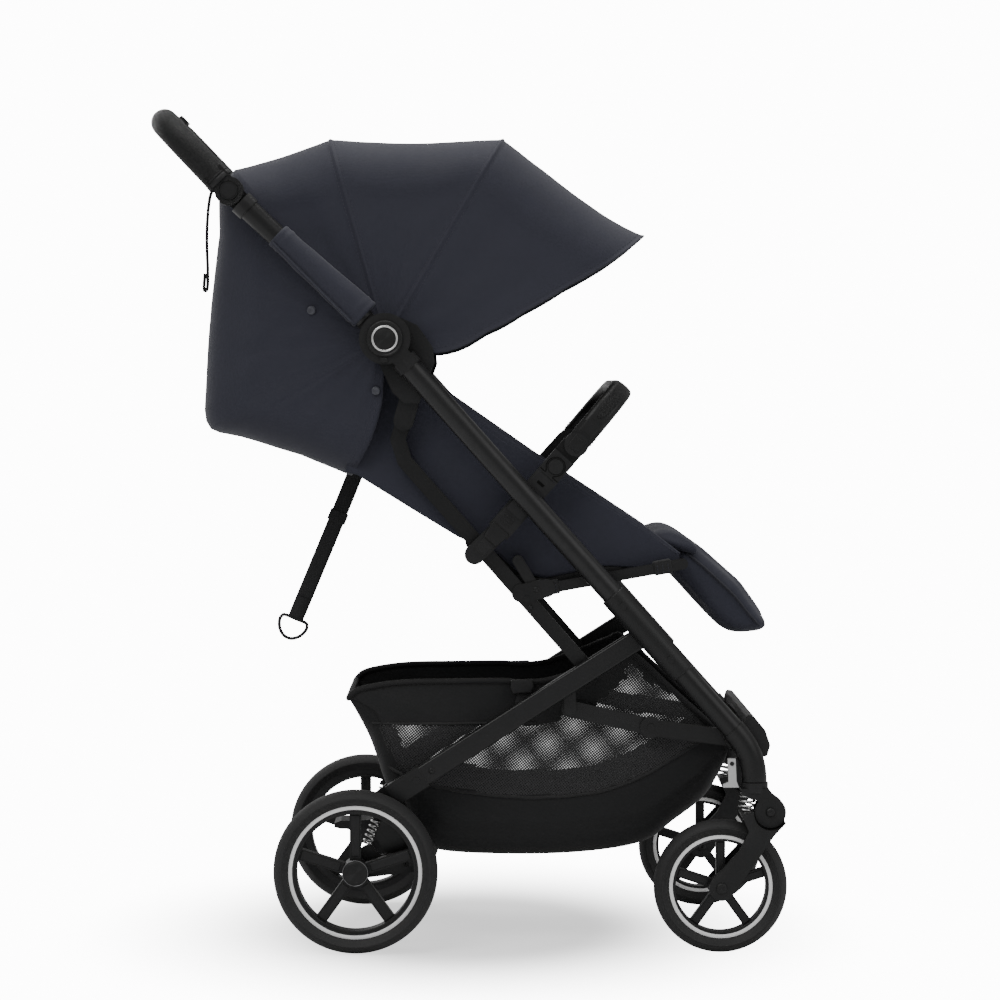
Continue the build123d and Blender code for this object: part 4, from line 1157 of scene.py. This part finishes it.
# ---- basket: sagging shell with net windows ------------------------------------------
BASKET_TOP = [(-146, 299), (-132, 310), (-84, 318), (-20, 319.5), (44, 320), (60, 318), (100, 322),
              (150, 340), (180, 352), (196, 354), (248, 306), (300, 258), (312, 236)]
BASKET_FOOT = [(-146, 299), (-136, 280), (-122, 250), (-112, 222), (-101, 190), (-80, 158), (-58, 130),
               (-36, 111), (62.5, 106), (150, 110), (211.7, 122), (246, 146), (286, 178), (306, 214),
               (312, 236)]
RIM_FOOT = [(-150, 268), (-60, 267), (60, 268), (90, 268), (150, 290), (196, 330), (250, 300), (312, 236)]
SOLID_TOP = [(-146, 262), (-118, 236), (-105, 223), (-83, 208), (-50, 196), (-11, 188), (32, 182.5),
             (75, 180), (118, 182), (162, 188), (208, 205), (254, 233), (300, 262), (312, 270)]


def build_basket():
    """Side walls, rounded bottom and rear wall in one loft; rim, net and base cloth."""
    count = 121
    top = resample(smooth_line([place(at(x, z), 0) for x, z in BASKET_TOP], 6), count)
    foot = resample(smooth_line([place(at(x, z), 0) for x, z in BASKET_FOOT], 6), count)
    half, corner = 140.0, 34.0
    rows = []
    for i in range(count):
        depth = (top[i] - foot[i]).length / MM
        down = (foot[i] - top[i]).normalized() if depth > 1 else Vector((0.6, 0, -0.8))
        turn = min(corner, depth * 0.5)
        side = []
        for k in range(30):
            share = k / 30
            s = (depth - turn) * share
            swell = 4.5 * math.sin(math.pi * min(1.0, s / max(depth, 1.0))) * min(1.0, depth / 120)
            crease = noise.noise(Vector((top[i].x * 14, s * 0.012, 3.1))) * 1.6 * min(1.0, depth / 90)
            side.append((half - 1.5 + min(swell + crease, 6.0) * min(1, share * 3), s))
        for k in range(9):
            a = math.radians(90 * k / 8)
            side.append((half - 1.5 - turn + turn * math.cos(a), depth - turn + turn * math.sin(a)))
        sag = 2.4 * math.sin(math.pi * i / (count - 1))
        for k in range(1, 12):
            y = (half - 1.5 - turn) * (1 - k / 12)
            side.append((y, depth - sag * (1 - (y / half) ** 2) * 0.6))
        side.append((0.0, depth - sag * 0.6))
        near = [top[i] + down * s * MM + Vector((0, -y * MM, 0)) for y, s in side]
        far = [top[i] + down * s * MM + Vector((0, y * MM, 0)) for y, s in reversed(side[:-1])]
        rows.append(near + far)
    verts, faces = skin(rows)
    shell = make_piece("basket_shell", verts, faces, BLACK_CLOTH)
    shell.data.materials.append(BLACK_NET)
    solid_top = [(x + X_SHIFT, z) for x, z in SOLID_TOP]
    rim_foot = [(x + X_SHIFT, z) for x, z in RIM_FOOT]
    for face in shell.data.polygons:
        p = face.center / MM
        on_side = abs(p.y) > half - 20
        at_back = p.x < -75 and p.z > 195
        if (on_side or at_back) and table(solid_top, p.x) < p.z < table(rim_foot, p.x):
            if on_side and not (p.x < -134 + (299 - p.z) * 0.42 + 12):
                face.material_index = 1
        if on_side and p.x > 190 and p.z > table(rim_foot, p.x):
            edge = table([(x + X_SHIFT, z) for x, z in BASKET_TOP], p.x)
            if p.z < edge - 16:
                face.material_index = 1
    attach(shell, "frame")
    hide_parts("basket")
    rim = [p + Vector((0, -half * MM + 0.0015, 0)) for p in reversed(top)]
    rear = [top[0] + Vector((0, y * MM, 0)) for y in (-110, -60, 0, 60, 110)]
    rim += rear + [p + Vector((0, half * MM - 0.0015, 0)) for p in top]
    band = round_tube("basket_rim", resample(rim, 260), 3.6, BLACK_CLOTH, 12)
    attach(band, "frame")
    for label, s in SIDES.items():
        walls = [(v.co.x / MM, v.co.z / MM, abs(v.co.y)) for v in shell.data.vertices if v.co.y * s > 0.1]
        for name, lane, low, high in (("lower", solid_top, -112, 296), ("upper", rim_foot, -118, 88)):
            path = []
            for k in range(80):
                x = low + (high - low) * k / 79 + X_SHIFT
                z = table(lane, x) + (-1.5 if name == "lower" else 1.5)
                wall = wall_distance(walls, x, z)
                path.append(Vector((x * MM, s * (wall + 0.0008), z * MM)))
            line = round_tube(f"basket_{name}_binding_{label}", smooth_line(path[::4], 4), 1.8, WEBBING, 8,
                0.6)
            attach(line, "frame")
        tie = smooth_line([place(at(x, z), s * y) for x, z, y in (
            (62, 322, 141), (66, 312, 145.6), (62, 292, 145.4), (58, 272, 144.4))], 8)
        webbing(f"basket_hanger_{label}", tie, (1, 0, 0), 15, 1.6, WEBBING, "frame")
        clip = moulded_plate(f"basket_clip_{label}", [at(x, z) for x, z in (
            (50, 322), (76, 323), (78, 314), (74, 306), (52, 305), (49, 313))], s * 144.6, s * 151,
            PLASTIC, 1.6)
        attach(clip, "frame")


def wall_distance(walls, x, z):
    """How far out the wall is at the point nearest to a side-view place."""
    return min(walls, key=lambda e: (e[0] - x) ** 2 + (e[1] - z) ** 2)[2]


build_basket()


# ---- push arms: fabric sleeve and hub rings ----------------------------------------------
def build_sleeve(label, s):
    """Fabric sleeve round the push arm, wider toward the hub, with its closing seam."""
    rows = []
    count = 56
    for i in range(count):
        t = i / (count - 1)
        d = 177.0 - 141.0 * t
        wide = 15.4 + 3.8 * t + noise.noise(Vector((d * 0.03, s, 0))) * 0.5
        deep = 14.8 + 0.4 * t
        row = []
        for k in range(40):
            a = 2 * math.pi * k / 40
            fold = noise.noise(Vector((d * 0.04, math.cos(a) * 1.5, math.sin(a) * 1.5 + s))) * 0.9
            hem = 0.6 if i < 2 or i > count - 3 or 4 <= i <= 5 or count - 6 <= i <= count - 5 else 0.0
            off = (wide + fold + hem) * math.sin(a)
            shift = -1.5 - 2.5 * t
            out = (deep + fold * 0.5 + hem) * math.cos(a)
            if i in (0, count - 1):
                off *= 0.93
                out *= 0.93
            y = TUBE_Y + max(min(out, 17.5), -14.4)
            row.append(place(along(HUB, ARM_ANGLE, d, off + shift), s * y))
        rows.append(row)
    verts, faces = skin(rows, wrap=True, ends=True)
    sleeve = make_piece(f"arm_sleeve_{label}", verts, faces, NAVY)
    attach(sleeve, "push_handle")
    seam = [place(along(HUB, ARM_ANGLE, d, o), s * y) for d, o, y in (
        (174, 8.5, 208.6), (140, 9.5, 208.6), (100, 11.0, 208.4), (70, 12.0, 208.2), (42, 12.5, 208.4))]
    line = round_tube(f"sleeve_seam_{label}", smooth_line(seam, 8), 1.0, THREAD, 8)
    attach(line, "push_handle")


def build_hub(label, s):
    """Turned cap with rings on the hub, and the release tab under it."""
    face = place(HUB, s * 213.5)
    cap = turned(f"hub_cap_{label}", [
        (21.0, -1.5), (21.4, 0.2), (20.8, 1.2), (19.6, 1.4), (18.8, 0.7), (18.0, 0.5), (16.4, 0.6),
        (16.0, 0.8), (0.01, 0.9)], face, (0, s, 0), PLASTIC, 72)
    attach(cap, "frame")
    ring = turned(f"hub_ring_{label}", [
        (15.8, 0.3), (15.8, 1.5), (15.2, 2.0), (13.9, 2.0), (13.3, 1.5), (13.3, 0.4)], face, (0, s, 0),
        SILVER, 72)
    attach(ring, "frame")
    tab = moulded_plate(f"hub_tab_{label}", [along(HUB, -92, d, o) for d, o in (
        (22.5, -4.2), (27.6, -4.6), (28.6, 0), (27.6, 4.6), (22.5, 4.2))], s * 212.8, s * 214.6, PLASTIC, 0.6)
    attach(tab, "frame")


for label, s in SIDES.items():
    build_sleeve(label, s)
    build_hub(label, s)


# ---- wheels: pale rings, hub caps, sidewall line ------------------------------------
def ring_on(name, centre, y, out, inner, outer, body, material):
    """Flat-topped ring let into a rim face."""
    ring = turned(name, [(inner, -0.8), (inner, 0.5), (inner + 0.5, 0.95), (outer - 0.5, 0.95),
        (outer, 0.5), (outer, -0.8)],
                  place(centre, y), (0, out, 0), material, 96)
    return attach(ring, body)


def build_wheels(label, s):
    """Rings and caps of both wheels on one side."""
    ring_on(f"rear_ring_{label}", REAR_AXLE, s * 215.4, s, 75.0, 79.6, f"rear_wheel_{label}", WHITE_RING)
    for face, out in (("outer", s), ("inner", -s)):
        ring_on(f"front_ring_{face}_{label}", FRONT_AXLE, s * TUBE_Y + out * 10.6, out, 57.2, 61.7,
                f"front_wheel_{label}", WHITE_RING)
        ring_on(f"rear_lip_{face}_{label}", REAR_AXLE, s * 204 + out * 11.2, out, 69.6, 72.4,
                f"rear_wheel_{label}", RIM_PLASTIC)
        ring_on(f"front_lip_{face}_{label}", FRONT_AXLE, s * TUBE_Y + out * 10.6, out, 54.1, 56.2,
                f"front_wheel_{label}", RIM_PLASTIC)
    cap = turned(f"rear_hub_cap_{label}", [(14.2, -1.0), (14.2, 0.3), (13.5, 0.9), (9.0, 1.25), (0.01, 1.35)],
                 place(REAR_AXLE, s * 221.9), (0, s, 0), PLASTIC, 64)
    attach(cap, f"rear_wheel_{label}")
    groove_ring = turned(f"rear_hub_groove_{label}", [(15.4, -0.5), (15.4, 0.12), (14.6, 0.12), (14.6, -0.5)],
                         place(REAR_AXLE, s * 222.0), (0, s, 0), STEEL, 64)
    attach(groove_ring, f"rear_wheel_{label}")
    for n in range(5):
        angle = 90 + 72 * n
        for kind, axle, y, near, far, wide, body in (
            ("rear", REAR_AXLE, 211.2, 19.0, 68.0, 4.6, f"rear_wheel_{label}"),
            ("front", FRONT_AXLE, 202.3, 16.0, 53.0, 3.4, f"front_wheel_{label}"),
        ):
            rib = moulded_plate(f"{kind}_spoke_rib_{label}_{n}", [along(axle, angle, d, o) for d, o in (
                (near, -wide), (far, -wide - 0.9), (far, wide + 0.9), (near, wide))],
                s * (y - 1.5), s * (y + 0.9), RIM_PLASTIC, 0.8, 2)
            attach(rib, body)


# ---- springs ---------------------------------------------------------------------------
def coil(name, start, end, radius, wire, turns, material, body):
    """Wound spring between two points."""
    axis = (end - start).normalized()
    side = axis.orthogonal().normalized()
    other = axis.cross(side)
    steps = int(turns * 22)
    line = []
    for k in range(steps + 1):
        t = k / steps
        ease = min(1.0, max(0.0, (t - 0.1) / 0.8))
        a = 2 * math.pi * turns * t
        line.append(start.lerp(end, 0.04 * min(t / 0.1, 1) + 0.92 * ease + 0.04 * max(0.0, (t - 0.9) / 0.1))
                    + (side * math.cos(a) + other * math.sin(a)) * radius * MM)
    piece = round_tube(name, line, wire, material, 8)
    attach(piece, body)
    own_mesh(piece)
    return piece


def build_springs(label, s):
    """Coils over both axles, the rear one with its seat and bracket."""
    top, low = place(at(-111.0, 158.0), s * 177.6), place(at(-123.0, 128.5), s * 177.6)
    coil(f"rear_spring_{label}", top, low, 5.2, 1.1, 6.0, SILVER,
        "rear_frame")
    seat = turned(f"rear_spring_seat_{label}", [(6.4, -0.5), (7.0, 1.0), (7.0, 4.0), (5.0, 5.5), (0.01, 5.5)],
                  top, top - low, PLASTIC, 32)
    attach(seat, "rear_frame")
    arm = moulded_plate(f"rear_spring_bracket_{label}", [at(x, z) for x, z in (
        (-116, 160), (-104, 158), (-98, 172), (-104, 182), (-112, 172))], s * 168, s * 181, PLASTIC, 1.6)
    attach(arm, "rear_frame")
    upper, lower = place(at(333.0, 190.5), s * TUBE_Y), place(at(330.0, 170.5), s * TUBE_Y)
    coil(f"front_spring_{label}", upper, lower, 8.6, 1.3, 4.0, SILVER,
        f"swivel_{label}")


# ---- bumper bar: joint details and leather pad -------------------------------------------
def build_bumper(label, s):
    """Button outline and slot drawn as dark pieces of painted shade, latch, ribs and grip patch on one arm of
    the bumper bar.
    """
    def spot(d, o):
        """A point up the bumper arm."""
        return along(BUMPER_FOOT, BUMPER_ANGLE, d, o)

    # Painted shade: a thin dark tube stands for the shadow in the gap round the button, and a dark plate for
    # the shade in the slot.
    loop = [place(spot(d, o), s * 181.7) for d, o in (
        (97.5, 13.8), (97.6, 6.0), (100.2, 6.6), (102.4, 8.6), (106.0, 10.8), (110.5, 11.4), (116.0, 9.6),
        (120.2, 5.0), (121.2, 0.0), (120.2, -5.0), (116.0, -9.6), (110.5, -11.4), (106.0, -10.8),
        (102.4, -8.6), (100.2, -6.6), (97.6, -6.0), (97.5, -13.8))]
    outline = round_tube(f"bumper_button_gap_{label}", smooth_line(loop, 5), 0.55, SHADOW_GAP, 8)
    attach(outline, "bumper_arms")
    slot = moulded_plate(f"bumper_slot_{label}", [spot(d, o) for d, o in (
        (81, -5), (84.6, -5), (84.6, 5), (81, 5))], s * 181.2, s * 182.0, SHADOW_GAP, 0.5)
    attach(slot, "frame")
    latch = moulded_plate(f"bumper_latch_{label}", [along(BUMPER_HINGE, BAR_ANGLE, d, o) for d, o in (
        (-8, -7.5), (-8, 7.5), (8, 8.2), (9.4, 8.0), (8.4, 4.5), (8.0, 0), (8.4, -4.5), (9.4, -8.0),
        (8, -8.2))], s * 180.8, s * 182.4, PLASTIC, 0.7)
    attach(latch, "bumper_bar")
    for n in range(3):
        for o in (13.0, -13.0):
            rib = moulded_plate(f"bumper_rib_{label}_{n}_{'a' if o > 0 else 'b'}",
                [along(BUMPER_HINGE, BAR_ANGLE, d, q) for d, q in (
                (9 + 4 * n, o), (11 + 4 * n, o), (11 + 4 * n, o + math.copysign(1.6, o)),
                (9 + 4 * n, o + math.copysign(1.6, o)))],
                s * 171.5, s * 180.0, PLASTIC, 0.5, 2)
            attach(rib, "bumper_bar")
    for i in range(4):
        for j in range(4):
            stud = moulded_plate(f"adapter_stud_{label}_{i}_{j}",
                [spot(17 + 3.6 * i + d, -6.3 + 4.2 * j + o) for d, o in (
                (0, 0), (2.3, 0), (2.3, 2.8), (0, 2.8))], s * 181.2, s * 182.1, PLASTIC, 0.4, 1)
            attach(stud, "frame")
    block = moulded_plate(f"adapter_block_{label}", [spot(d, o) for d, o in (
        (-9, 9.5), (-9, -9.5), (8, -12.6), (12.5, -12.6), (12.5, 12.6), (8, 12.6))], s * 178.5, s * 183.2,
        PLASTIC, 1.4)
    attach(block, "frame")
    tongue = moulded_plate(f"adapter_tongue_{label}", [spot(d, o) for d, o in (
        (-27, 7), (-27, -7), (-8, -8), (-8, 8))], s * 176.5, s * 180.6, WEBBING, 1.2)
    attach(tongue, "frame")


def build_bumper_pad():
    """Leather cover let into the U of the bumper bar."""
    path = []
    for k in range(25):
        a = math.radians(8 + 82 * k / 24)
        path.append((along(BUMPER_HINGE, BAR_ANGLE, BAR_REACH - BAR_BEND + BAR_BEND * math.sin(a)),
                     -BAR_SIDE - BAR_BEND * math.cos(a)))
    line = [place(p, y) for p, y in path]
    line += [place(along(BUMPER_HINGE, BAR_ANGLE, BAR_REACH), -BAR_SIDE + 2 * BAR_SIDE * k / 30)
        for k in range(1, 30)]
    line += [place(p, -y) for p, y in reversed(path)]
    up = Vector((-math.sin(math.radians(BAR_ANGLE)), 0, math.cos(math.radians(BAR_ANGLE))))
    rows = []
    for i, p in enumerate(line):
        t = i / (len(line) - 1)
        ahead = direction(line, i)
        side = ahead.cross(up).normalized()
        end = min(1.0, min(t, 1 - t) * 22)
        tall = 11.6 * math.sqrt(max(0.04, 1 - (1 - end) ** 2))
        row = []
        for k in range(36):
            a = 2 * math.pi * k / 36
            u = 9.15 * math.copysign(abs(math.cos(a)) ** 0.45, math.cos(a))
            v = tall * math.copysign(abs(math.sin(a)) ** 0.75, math.sin(a))
            row.append(p + (side * u + up * v) * MM)
        rows.append(row)
    verts, faces = skin(rows, wrap=True, ends=True)
    pad = make_piece("bumper_leather", verts, faces, GRIP)
    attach(pad, "bumper_bar")


# ---- handlebar: collars, seam and stitches -------------------------------------------------
def build_handlebar():
    """Collars at the ends of the grip and a stitched seam inside its U."""
    for label, s in SIDES.items():
        for n, (near, far, r) in enumerate(((15.0, 21.0, 17.2), (22.0, 24.0, 17.0))):
            axis = Vector((math.cos(math.radians(GRIP_ANGLE)), 0, math.sin(math.radians(GRIP_ANGLE))))
            ring = turned(f"grip_collar_{label}_{n}", [
                (16.0, near), (r - 0.4, near), (r, near + 0.6), (r, far - 0.6), (r - 0.4, far), (16.0, far)],
                place(KNUCKLE, s * TUBE_Y), axis, PLASTIC, 48)
            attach(ring, "handlebar")
    line = []
    reach = GRIP_REACH
    centre = place(along(KNUCKLE, GRIP_ANGLE, 40), 0)
    for k in range(17):
        line.append((26 + (reach - GRIP_BEND - 26) * k / 17, -TUBE_Y + GRIP_INSIDE))
    for k in range(19):
        a = math.radians(90 * k / 18)
        line.append((reach - GRIP_BEND + (GRIP_BEND - GRIP_INSIDE) * math.sin(a),
                     -TUBE_Y + GRIP_BEND - (GRIP_BEND - GRIP_INSIDE) * math.cos(a)))
    for k in range(1, 40):
        line.append((reach - GRIP_INSIDE, (-TUBE_Y + GRIP_BEND) * (1 - k / 40.0)))
    line += [(d, -y) for d, y in reversed(line)]
    places = [place(along(KNUCKLE, GRIP_ANGLE, d), y) for d, y in line]
    seam = round_tube("grip_seam", places, 0.6, STEEL, 6)
    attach(seam, "handlebar")
    up = Vector((-math.sin(math.radians(GRIP_ANGLE)), 0, math.cos(math.radians(GRIP_ANGLE))))
    for side_name, lift in (("upper", 3.4), ("lower", -3.4)):
        offset = []
        for i, p in enumerate(places):
            ahead = direction(places, i)
            inward = ahead.cross(up).normalized()
            if inward.dot(centre - p) < 0:
                inward = -inward
            offset.append((p + up * lift * MM - inward * 0.35 * MM, 0.0))
        v, f, _ = stitch_run(offset, lambda p: (centre - p).normalized(), 3.0, 2.2, 0.5)
        sewn = make_piece(f"grip_stitches_{side_name}", v, f, GRIP_THREAD)
        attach(sewn, "handlebar")


# ---- straps, snaps, rivets, rail loops ------------------------------------------------------
def build_straps():
    """Recline strap with its ring, roll-up strap at the back, snaps and rail loops."""
    down = smooth_line([place(at(x, z), 0) for x, z in (
        (-137.0, 580.0), (-141.5, 568.9), (-164.0, 513.5), (-189.0, 453.3), (-208.0, 408.0),
        (-214.5, 392.5))], 8)
    webbing("recline_strap", down, (0.924, 0, -0.383), 20, 1.9, WEBBING, "backrest")
    turn_over = smooth_line([place(at(x, z), y) for x, z, y in (
        (-196.0, 437.0, 1.9), (-205.0, 415.0, 2.1), (-214.0, 393.6, 3.0), (-216.6, 387.6, 0.0),
        (-214.0, 393.6, -2.4), (-206.0, 412.5, -1.9))], 7)
    webbing("recline_strap_loop", turn_over, (0.924, 0, -0.383), 19.4, 1.7, WEBBING, "backrest")
    for n, d in enumerate((-34.0, -40.0, -46.0)):
        row = [(place(along(at(-216.6, 387.6), STRAP_ANGLE, d, o), -1.2), 0.0) for o in (-8.5, 0.0, 8.5)]
        v, f, _ = stitch_run(row, lambda p: Vector((0, -1, 0)), 2.2, 1.2, 0.45)
        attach(make_piece(f"recline_stitch_{n}", v, f, GRIP_THREAD), "backrest")
    loop = [place(along(at(-217.2, 386.2), STRAP_ANGLE, d, o), 0) for d, o in (
        (0, -13.5), (0, 0), (0, 13.5), (3, 17.0), (9, 17.5), (18, 13.5), (24, 6.5), (25.5, 0), (24, -6.5),
        (18, -13.5), (9, -17.5), (3, -17.0))]
    ring = round_tube("recline_ring", smooth_line(loop, 6, closed=True) + [loop[0]], 2.1, PLASTIC, 12)
    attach(ring, "backrest")
    slide = moulded_plate("recline_slide", [along(at(-164, 513.5), STRAP_ANGLE, d, o) for d, o in (
        (-7, -11.6), (-7, 11.6), (7, 11.6), (7, -11.6))], -2.2, 2.2, WEBBING, 1.0)
    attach(slide, "backrest")
    roll = smooth_line([place(at(x, z), 0) for x, z in (
        (-303.0, 921.0), (-318.0, 918.0), (-323.5, 900.0), (-326.0, 860.0), (-325.0, 820.0), (-325.5, 797.0),
        (-329.5, 795.0), (-328.5, 815.0))], 8)
    webbing("roll_up_strap", roll, (0, 1, 0), 14, 3.0, WEBBING, "frame")
    for label, s in SIDES.items():
        for n, (x, z) in enumerate(((-189.0, 766.0), (-112.0, 670.0))):
            snap = turned(f"shell_snap_{label}_{n}", [
                (5.2, -1.6), (5.2, 0.2), (4.9, 1.0), (4.2, 1.4), (3.2, 1.3), (2.6, 1.0), (0.01, 1.1)],
                place(at(x, z), s * 167.2), (0, s, 0), SNAP, 32)
            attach(snap, "frame")
        for n, x in enumerate((97.0, 232.0)):
            z = 430 + (x - 80) * RAIL_SLOPE
            rail = (x + X_SHIFT, z)
            band = moulded_plate(f"rail_loop_{label}_{n}", [along(rail, RAIL_ANGLE, d, o) for d, o in (
                (-11, -8.2), (-11, 9.0), (11, 9.0), (11, -8.2))], s * 145.6, s * 158.9, WEBBING, 2.0)
            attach(band, "frame")
            for m in (-6.5, 0.0, 6.5):
                sewn = [(place(along(rail, RAIL_ANGLE, m, o), s * 159.0), 0.0) for o in (-6.5, 0.0, 7.0)]
                v, f, _ = stitch_run(sewn, lambda p: Vector((0, s, 0)), 2.4, 1.4, 0.45)
                if f:
                    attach(make_piece(f"rail_stitch_{label}_{n}_{int(m)}", v, f, THREAD), "frame")
        foot = moulded_plate(f"rail_bracket_{label}", [at(x, z) for x, z in (
            (70, 420), (88, 424), (92, 436), (86, 444), (72, 440), (66, 430))], s * 156.8, s * 159.6,
            PLASTIC, 1.0)
        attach(foot, "frame")
        for n, (d, y) in enumerate(((425.0, 211.0), (510.0, 211.0))):
            rivet(f"connector_rivet_{label}_{n}", along(HUB, FRAME_ANGLE, d), s * y, s, 4.0, "frame", 1.8)
        rivet(f"strut_rivet_{label}_0", at(7.0, 485.0), s * 157.4, s, 3.0, "frame")
        rivet(f"strut_rivet_{label}_1", at(73.0, 410.0), s * 157.4, s, 3.0, "frame")
        rivet(f"rail_rivet_{label}", at(80.0, 431.5), s * 159.4, s, 3.6, "frame")
        run, drop = LEG_FOOT[0] - LEG_PIVOT[0], LEG_FOOT[1] - LEG_PIVOT[1]
        leg = math.degrees(math.atan2(drop, run))
        length = math.hypot(run, drop)
        rivet(f"leg_rivet_{label}", along(LEG_PIVOT, leg, length - 58), s * 178.3, s, 3.8, "rear_frame", 1.8)
        rivet(f"axle_bolt_{label}", FRONT_AXLE, s * 223.4, s, 6.4, f"front_fork_{label}")
        rivet(f"axle_bolt_inner_{label}", FRONT_AXLE, s * 169.0, -s, 6.4, f"front_fork_{label}")
        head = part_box(f"swivel_head_{label}")
        out = max(abs(head[0][1]), abs(head[1][1])) / MM
        rivet(f"suspension_bolt_{label}", FORK_BOLT, s * min(out, 221.5), s, 5.4, f"swivel_{label}", 1.8)
        rivet(f"brake_bolt_{label}", at(-76.0, 104.0), s * 179.4, s, 3.6, f"swing_arm_{label}", 1.4)


# Near-black finish for painted shade in gaps and slots.
SHADOW_GAP = hard_finish("shadow_gap", (0.0025, 0.0025, 0.0025), 0.75, 1500.0, 0.0, level=0.15)
GRIP_THREAD = cloth_finish("grip_thread", (0.03, 0.03, 0.031), (0.05, 0.05, 0.052), 0.05, 9000.0, 0.5)
SNAP = hard_finish("navy_snap", (0.045, 0.047, 0.06), 0.34, 1500.0, 0.2, 0.2, worn=(0.12, 0.12, 0.14))
for label, s in SIDES.items():
    build_wheels(label, s)
    build_springs(label, s)
    build_bumper(label, s)
build_bumper_pad()
build_handlebar()
build_straps()


# ---- studio ---------------------------------------------------------------------
def build_studio():
    """Pale floor with a painted shadow pool under the stroller, white surroundings, soft lights and the
    camera.
    """
    world = bpy.data.worlds.new("studio")
    bpy.context.scene.world = world
    world.use_nodes = True
    tree = world.node_tree
    sky = tree.nodes["Background"]
    sky.inputs[0].default_value = (1.0, 1.0, 1.0, 1.0)
    seen = tree.nodes.new("ShaderNodeLightPath").outputs["Is Camera Ray"]
    strength = math_node(tree, "ADD", math_node(tree, "MULTIPLY", seen, BACKDROP - AMBIENT), AMBIENT)
    tree.links.new(strength, sky.inputs["Strength"])
    floor_finish = Finish("pale_floor_painted_shadow", (0.80, 0.80, 0.80), 0.6)
    haze = floor_finish.use(GRAIN, Grain=60.0)
    floor_finish.tint(haze["Cloud"], (0.84, 0.84, 0.84), 0.4)
    material = floor_finish.done()
    tree = material.node_tree
    glow = tree.nodes.new("ShaderNodeEmission")
    glow.inputs["Strength"].default_value = BACKDROP
    # Painted shadow: the floor glows less near the stroller, leaving a grey pool of painted shade under it.
    where = tree.nodes.new("ShaderNodeTexCoord").outputs["Object"]
    stretched = vector_node(tree, "MULTIPLY", where, (1.35, 1.0, 1.0)).outputs[0]
    away = vector_node(tree, "LENGTH", stretched).outputs["Value"]
    shadow_pool_ramp = tree.nodes.new("ShaderNodeMapRange")
    shadow_pool_ramp.interpolation_type = "SMOOTHSTEP"
    shadow_pool_ramp.inputs["From Min"].default_value = 0.2
    shadow_pool_ramp.inputs["From Max"].default_value = 0.72
    shadow_pool_ramp.inputs["To Min"].default_value = 0.07
    tree.links.new(away, shadow_pool_ramp.inputs["Value"])
    seen = tree.nodes.new("ShaderNodeLightPath").outputs["Is Camera Ray"]
    share = math_node(tree, "MULTIPLY", shadow_pool_ramp.outputs[0], seen)
    mixed = tree.nodes.new("ShaderNodeMixShader")
    tree.links.new(share, mixed.inputs[0])
    tree.links.new(tree.nodes["Principled BSDF"].outputs[0], mixed.inputs[1])
    tree.links.new(glow.outputs[0], mixed.inputs[2])
    tree.links.new(mixed.outputs[0], tree.nodes["Material Output"].inputs[0])
    floor = make_piece("floor", [(-60, -60, 0), (60, -60, 0), (60, 60, 0), (-60, 60, 0)], [(0, 1, 2, 3)],
        material)
    for label, spot, size, power in LIGHTS:
        data = bpy.data.lights.new(label, "AREA")
        data.size = size
        data.energy = power
        light = bpy.data.objects.new(label, data)
        light.location = spot
        light.rotation_euler = (Vector((0, 0, 0.45)) - Vector(spot)).to_track_quat("-Z", "Y").to_euler()
        bpy.context.scene.collection.objects.link(light)
    lens = bpy.data.cameras.new("side_camera")
    lens.lens = 129.0
    lens.sensor_width = 36.0
    camera = bpy.data.objects.new("side_camera", lens)
    camera.location = (0.0082, -4.455, 0.677)
    camera.rotation_euler = (math.radians(90 - 1.84), 0.0, math.radians(-0.4))
    bpy.context.scene.collection.objects.link(camera)
    bpy.context.scene.camera = camera


BACKDROP = 13.0
AMBIENT = 0.38
LIGHTS = (
    ("key_light", (-1.6, -2.6, 3.4), 2.0, 60.0),
    ("fill_light", (2.6, -2.0, 2.2), 2.4, 22.0),
    ("top_light", (0.2, 0.4, 3.6), 2.0, 60.0),
    ("rim_light", (-1.8, 2.8, 1.8), 2.0, 25.0),
)
build_studio()
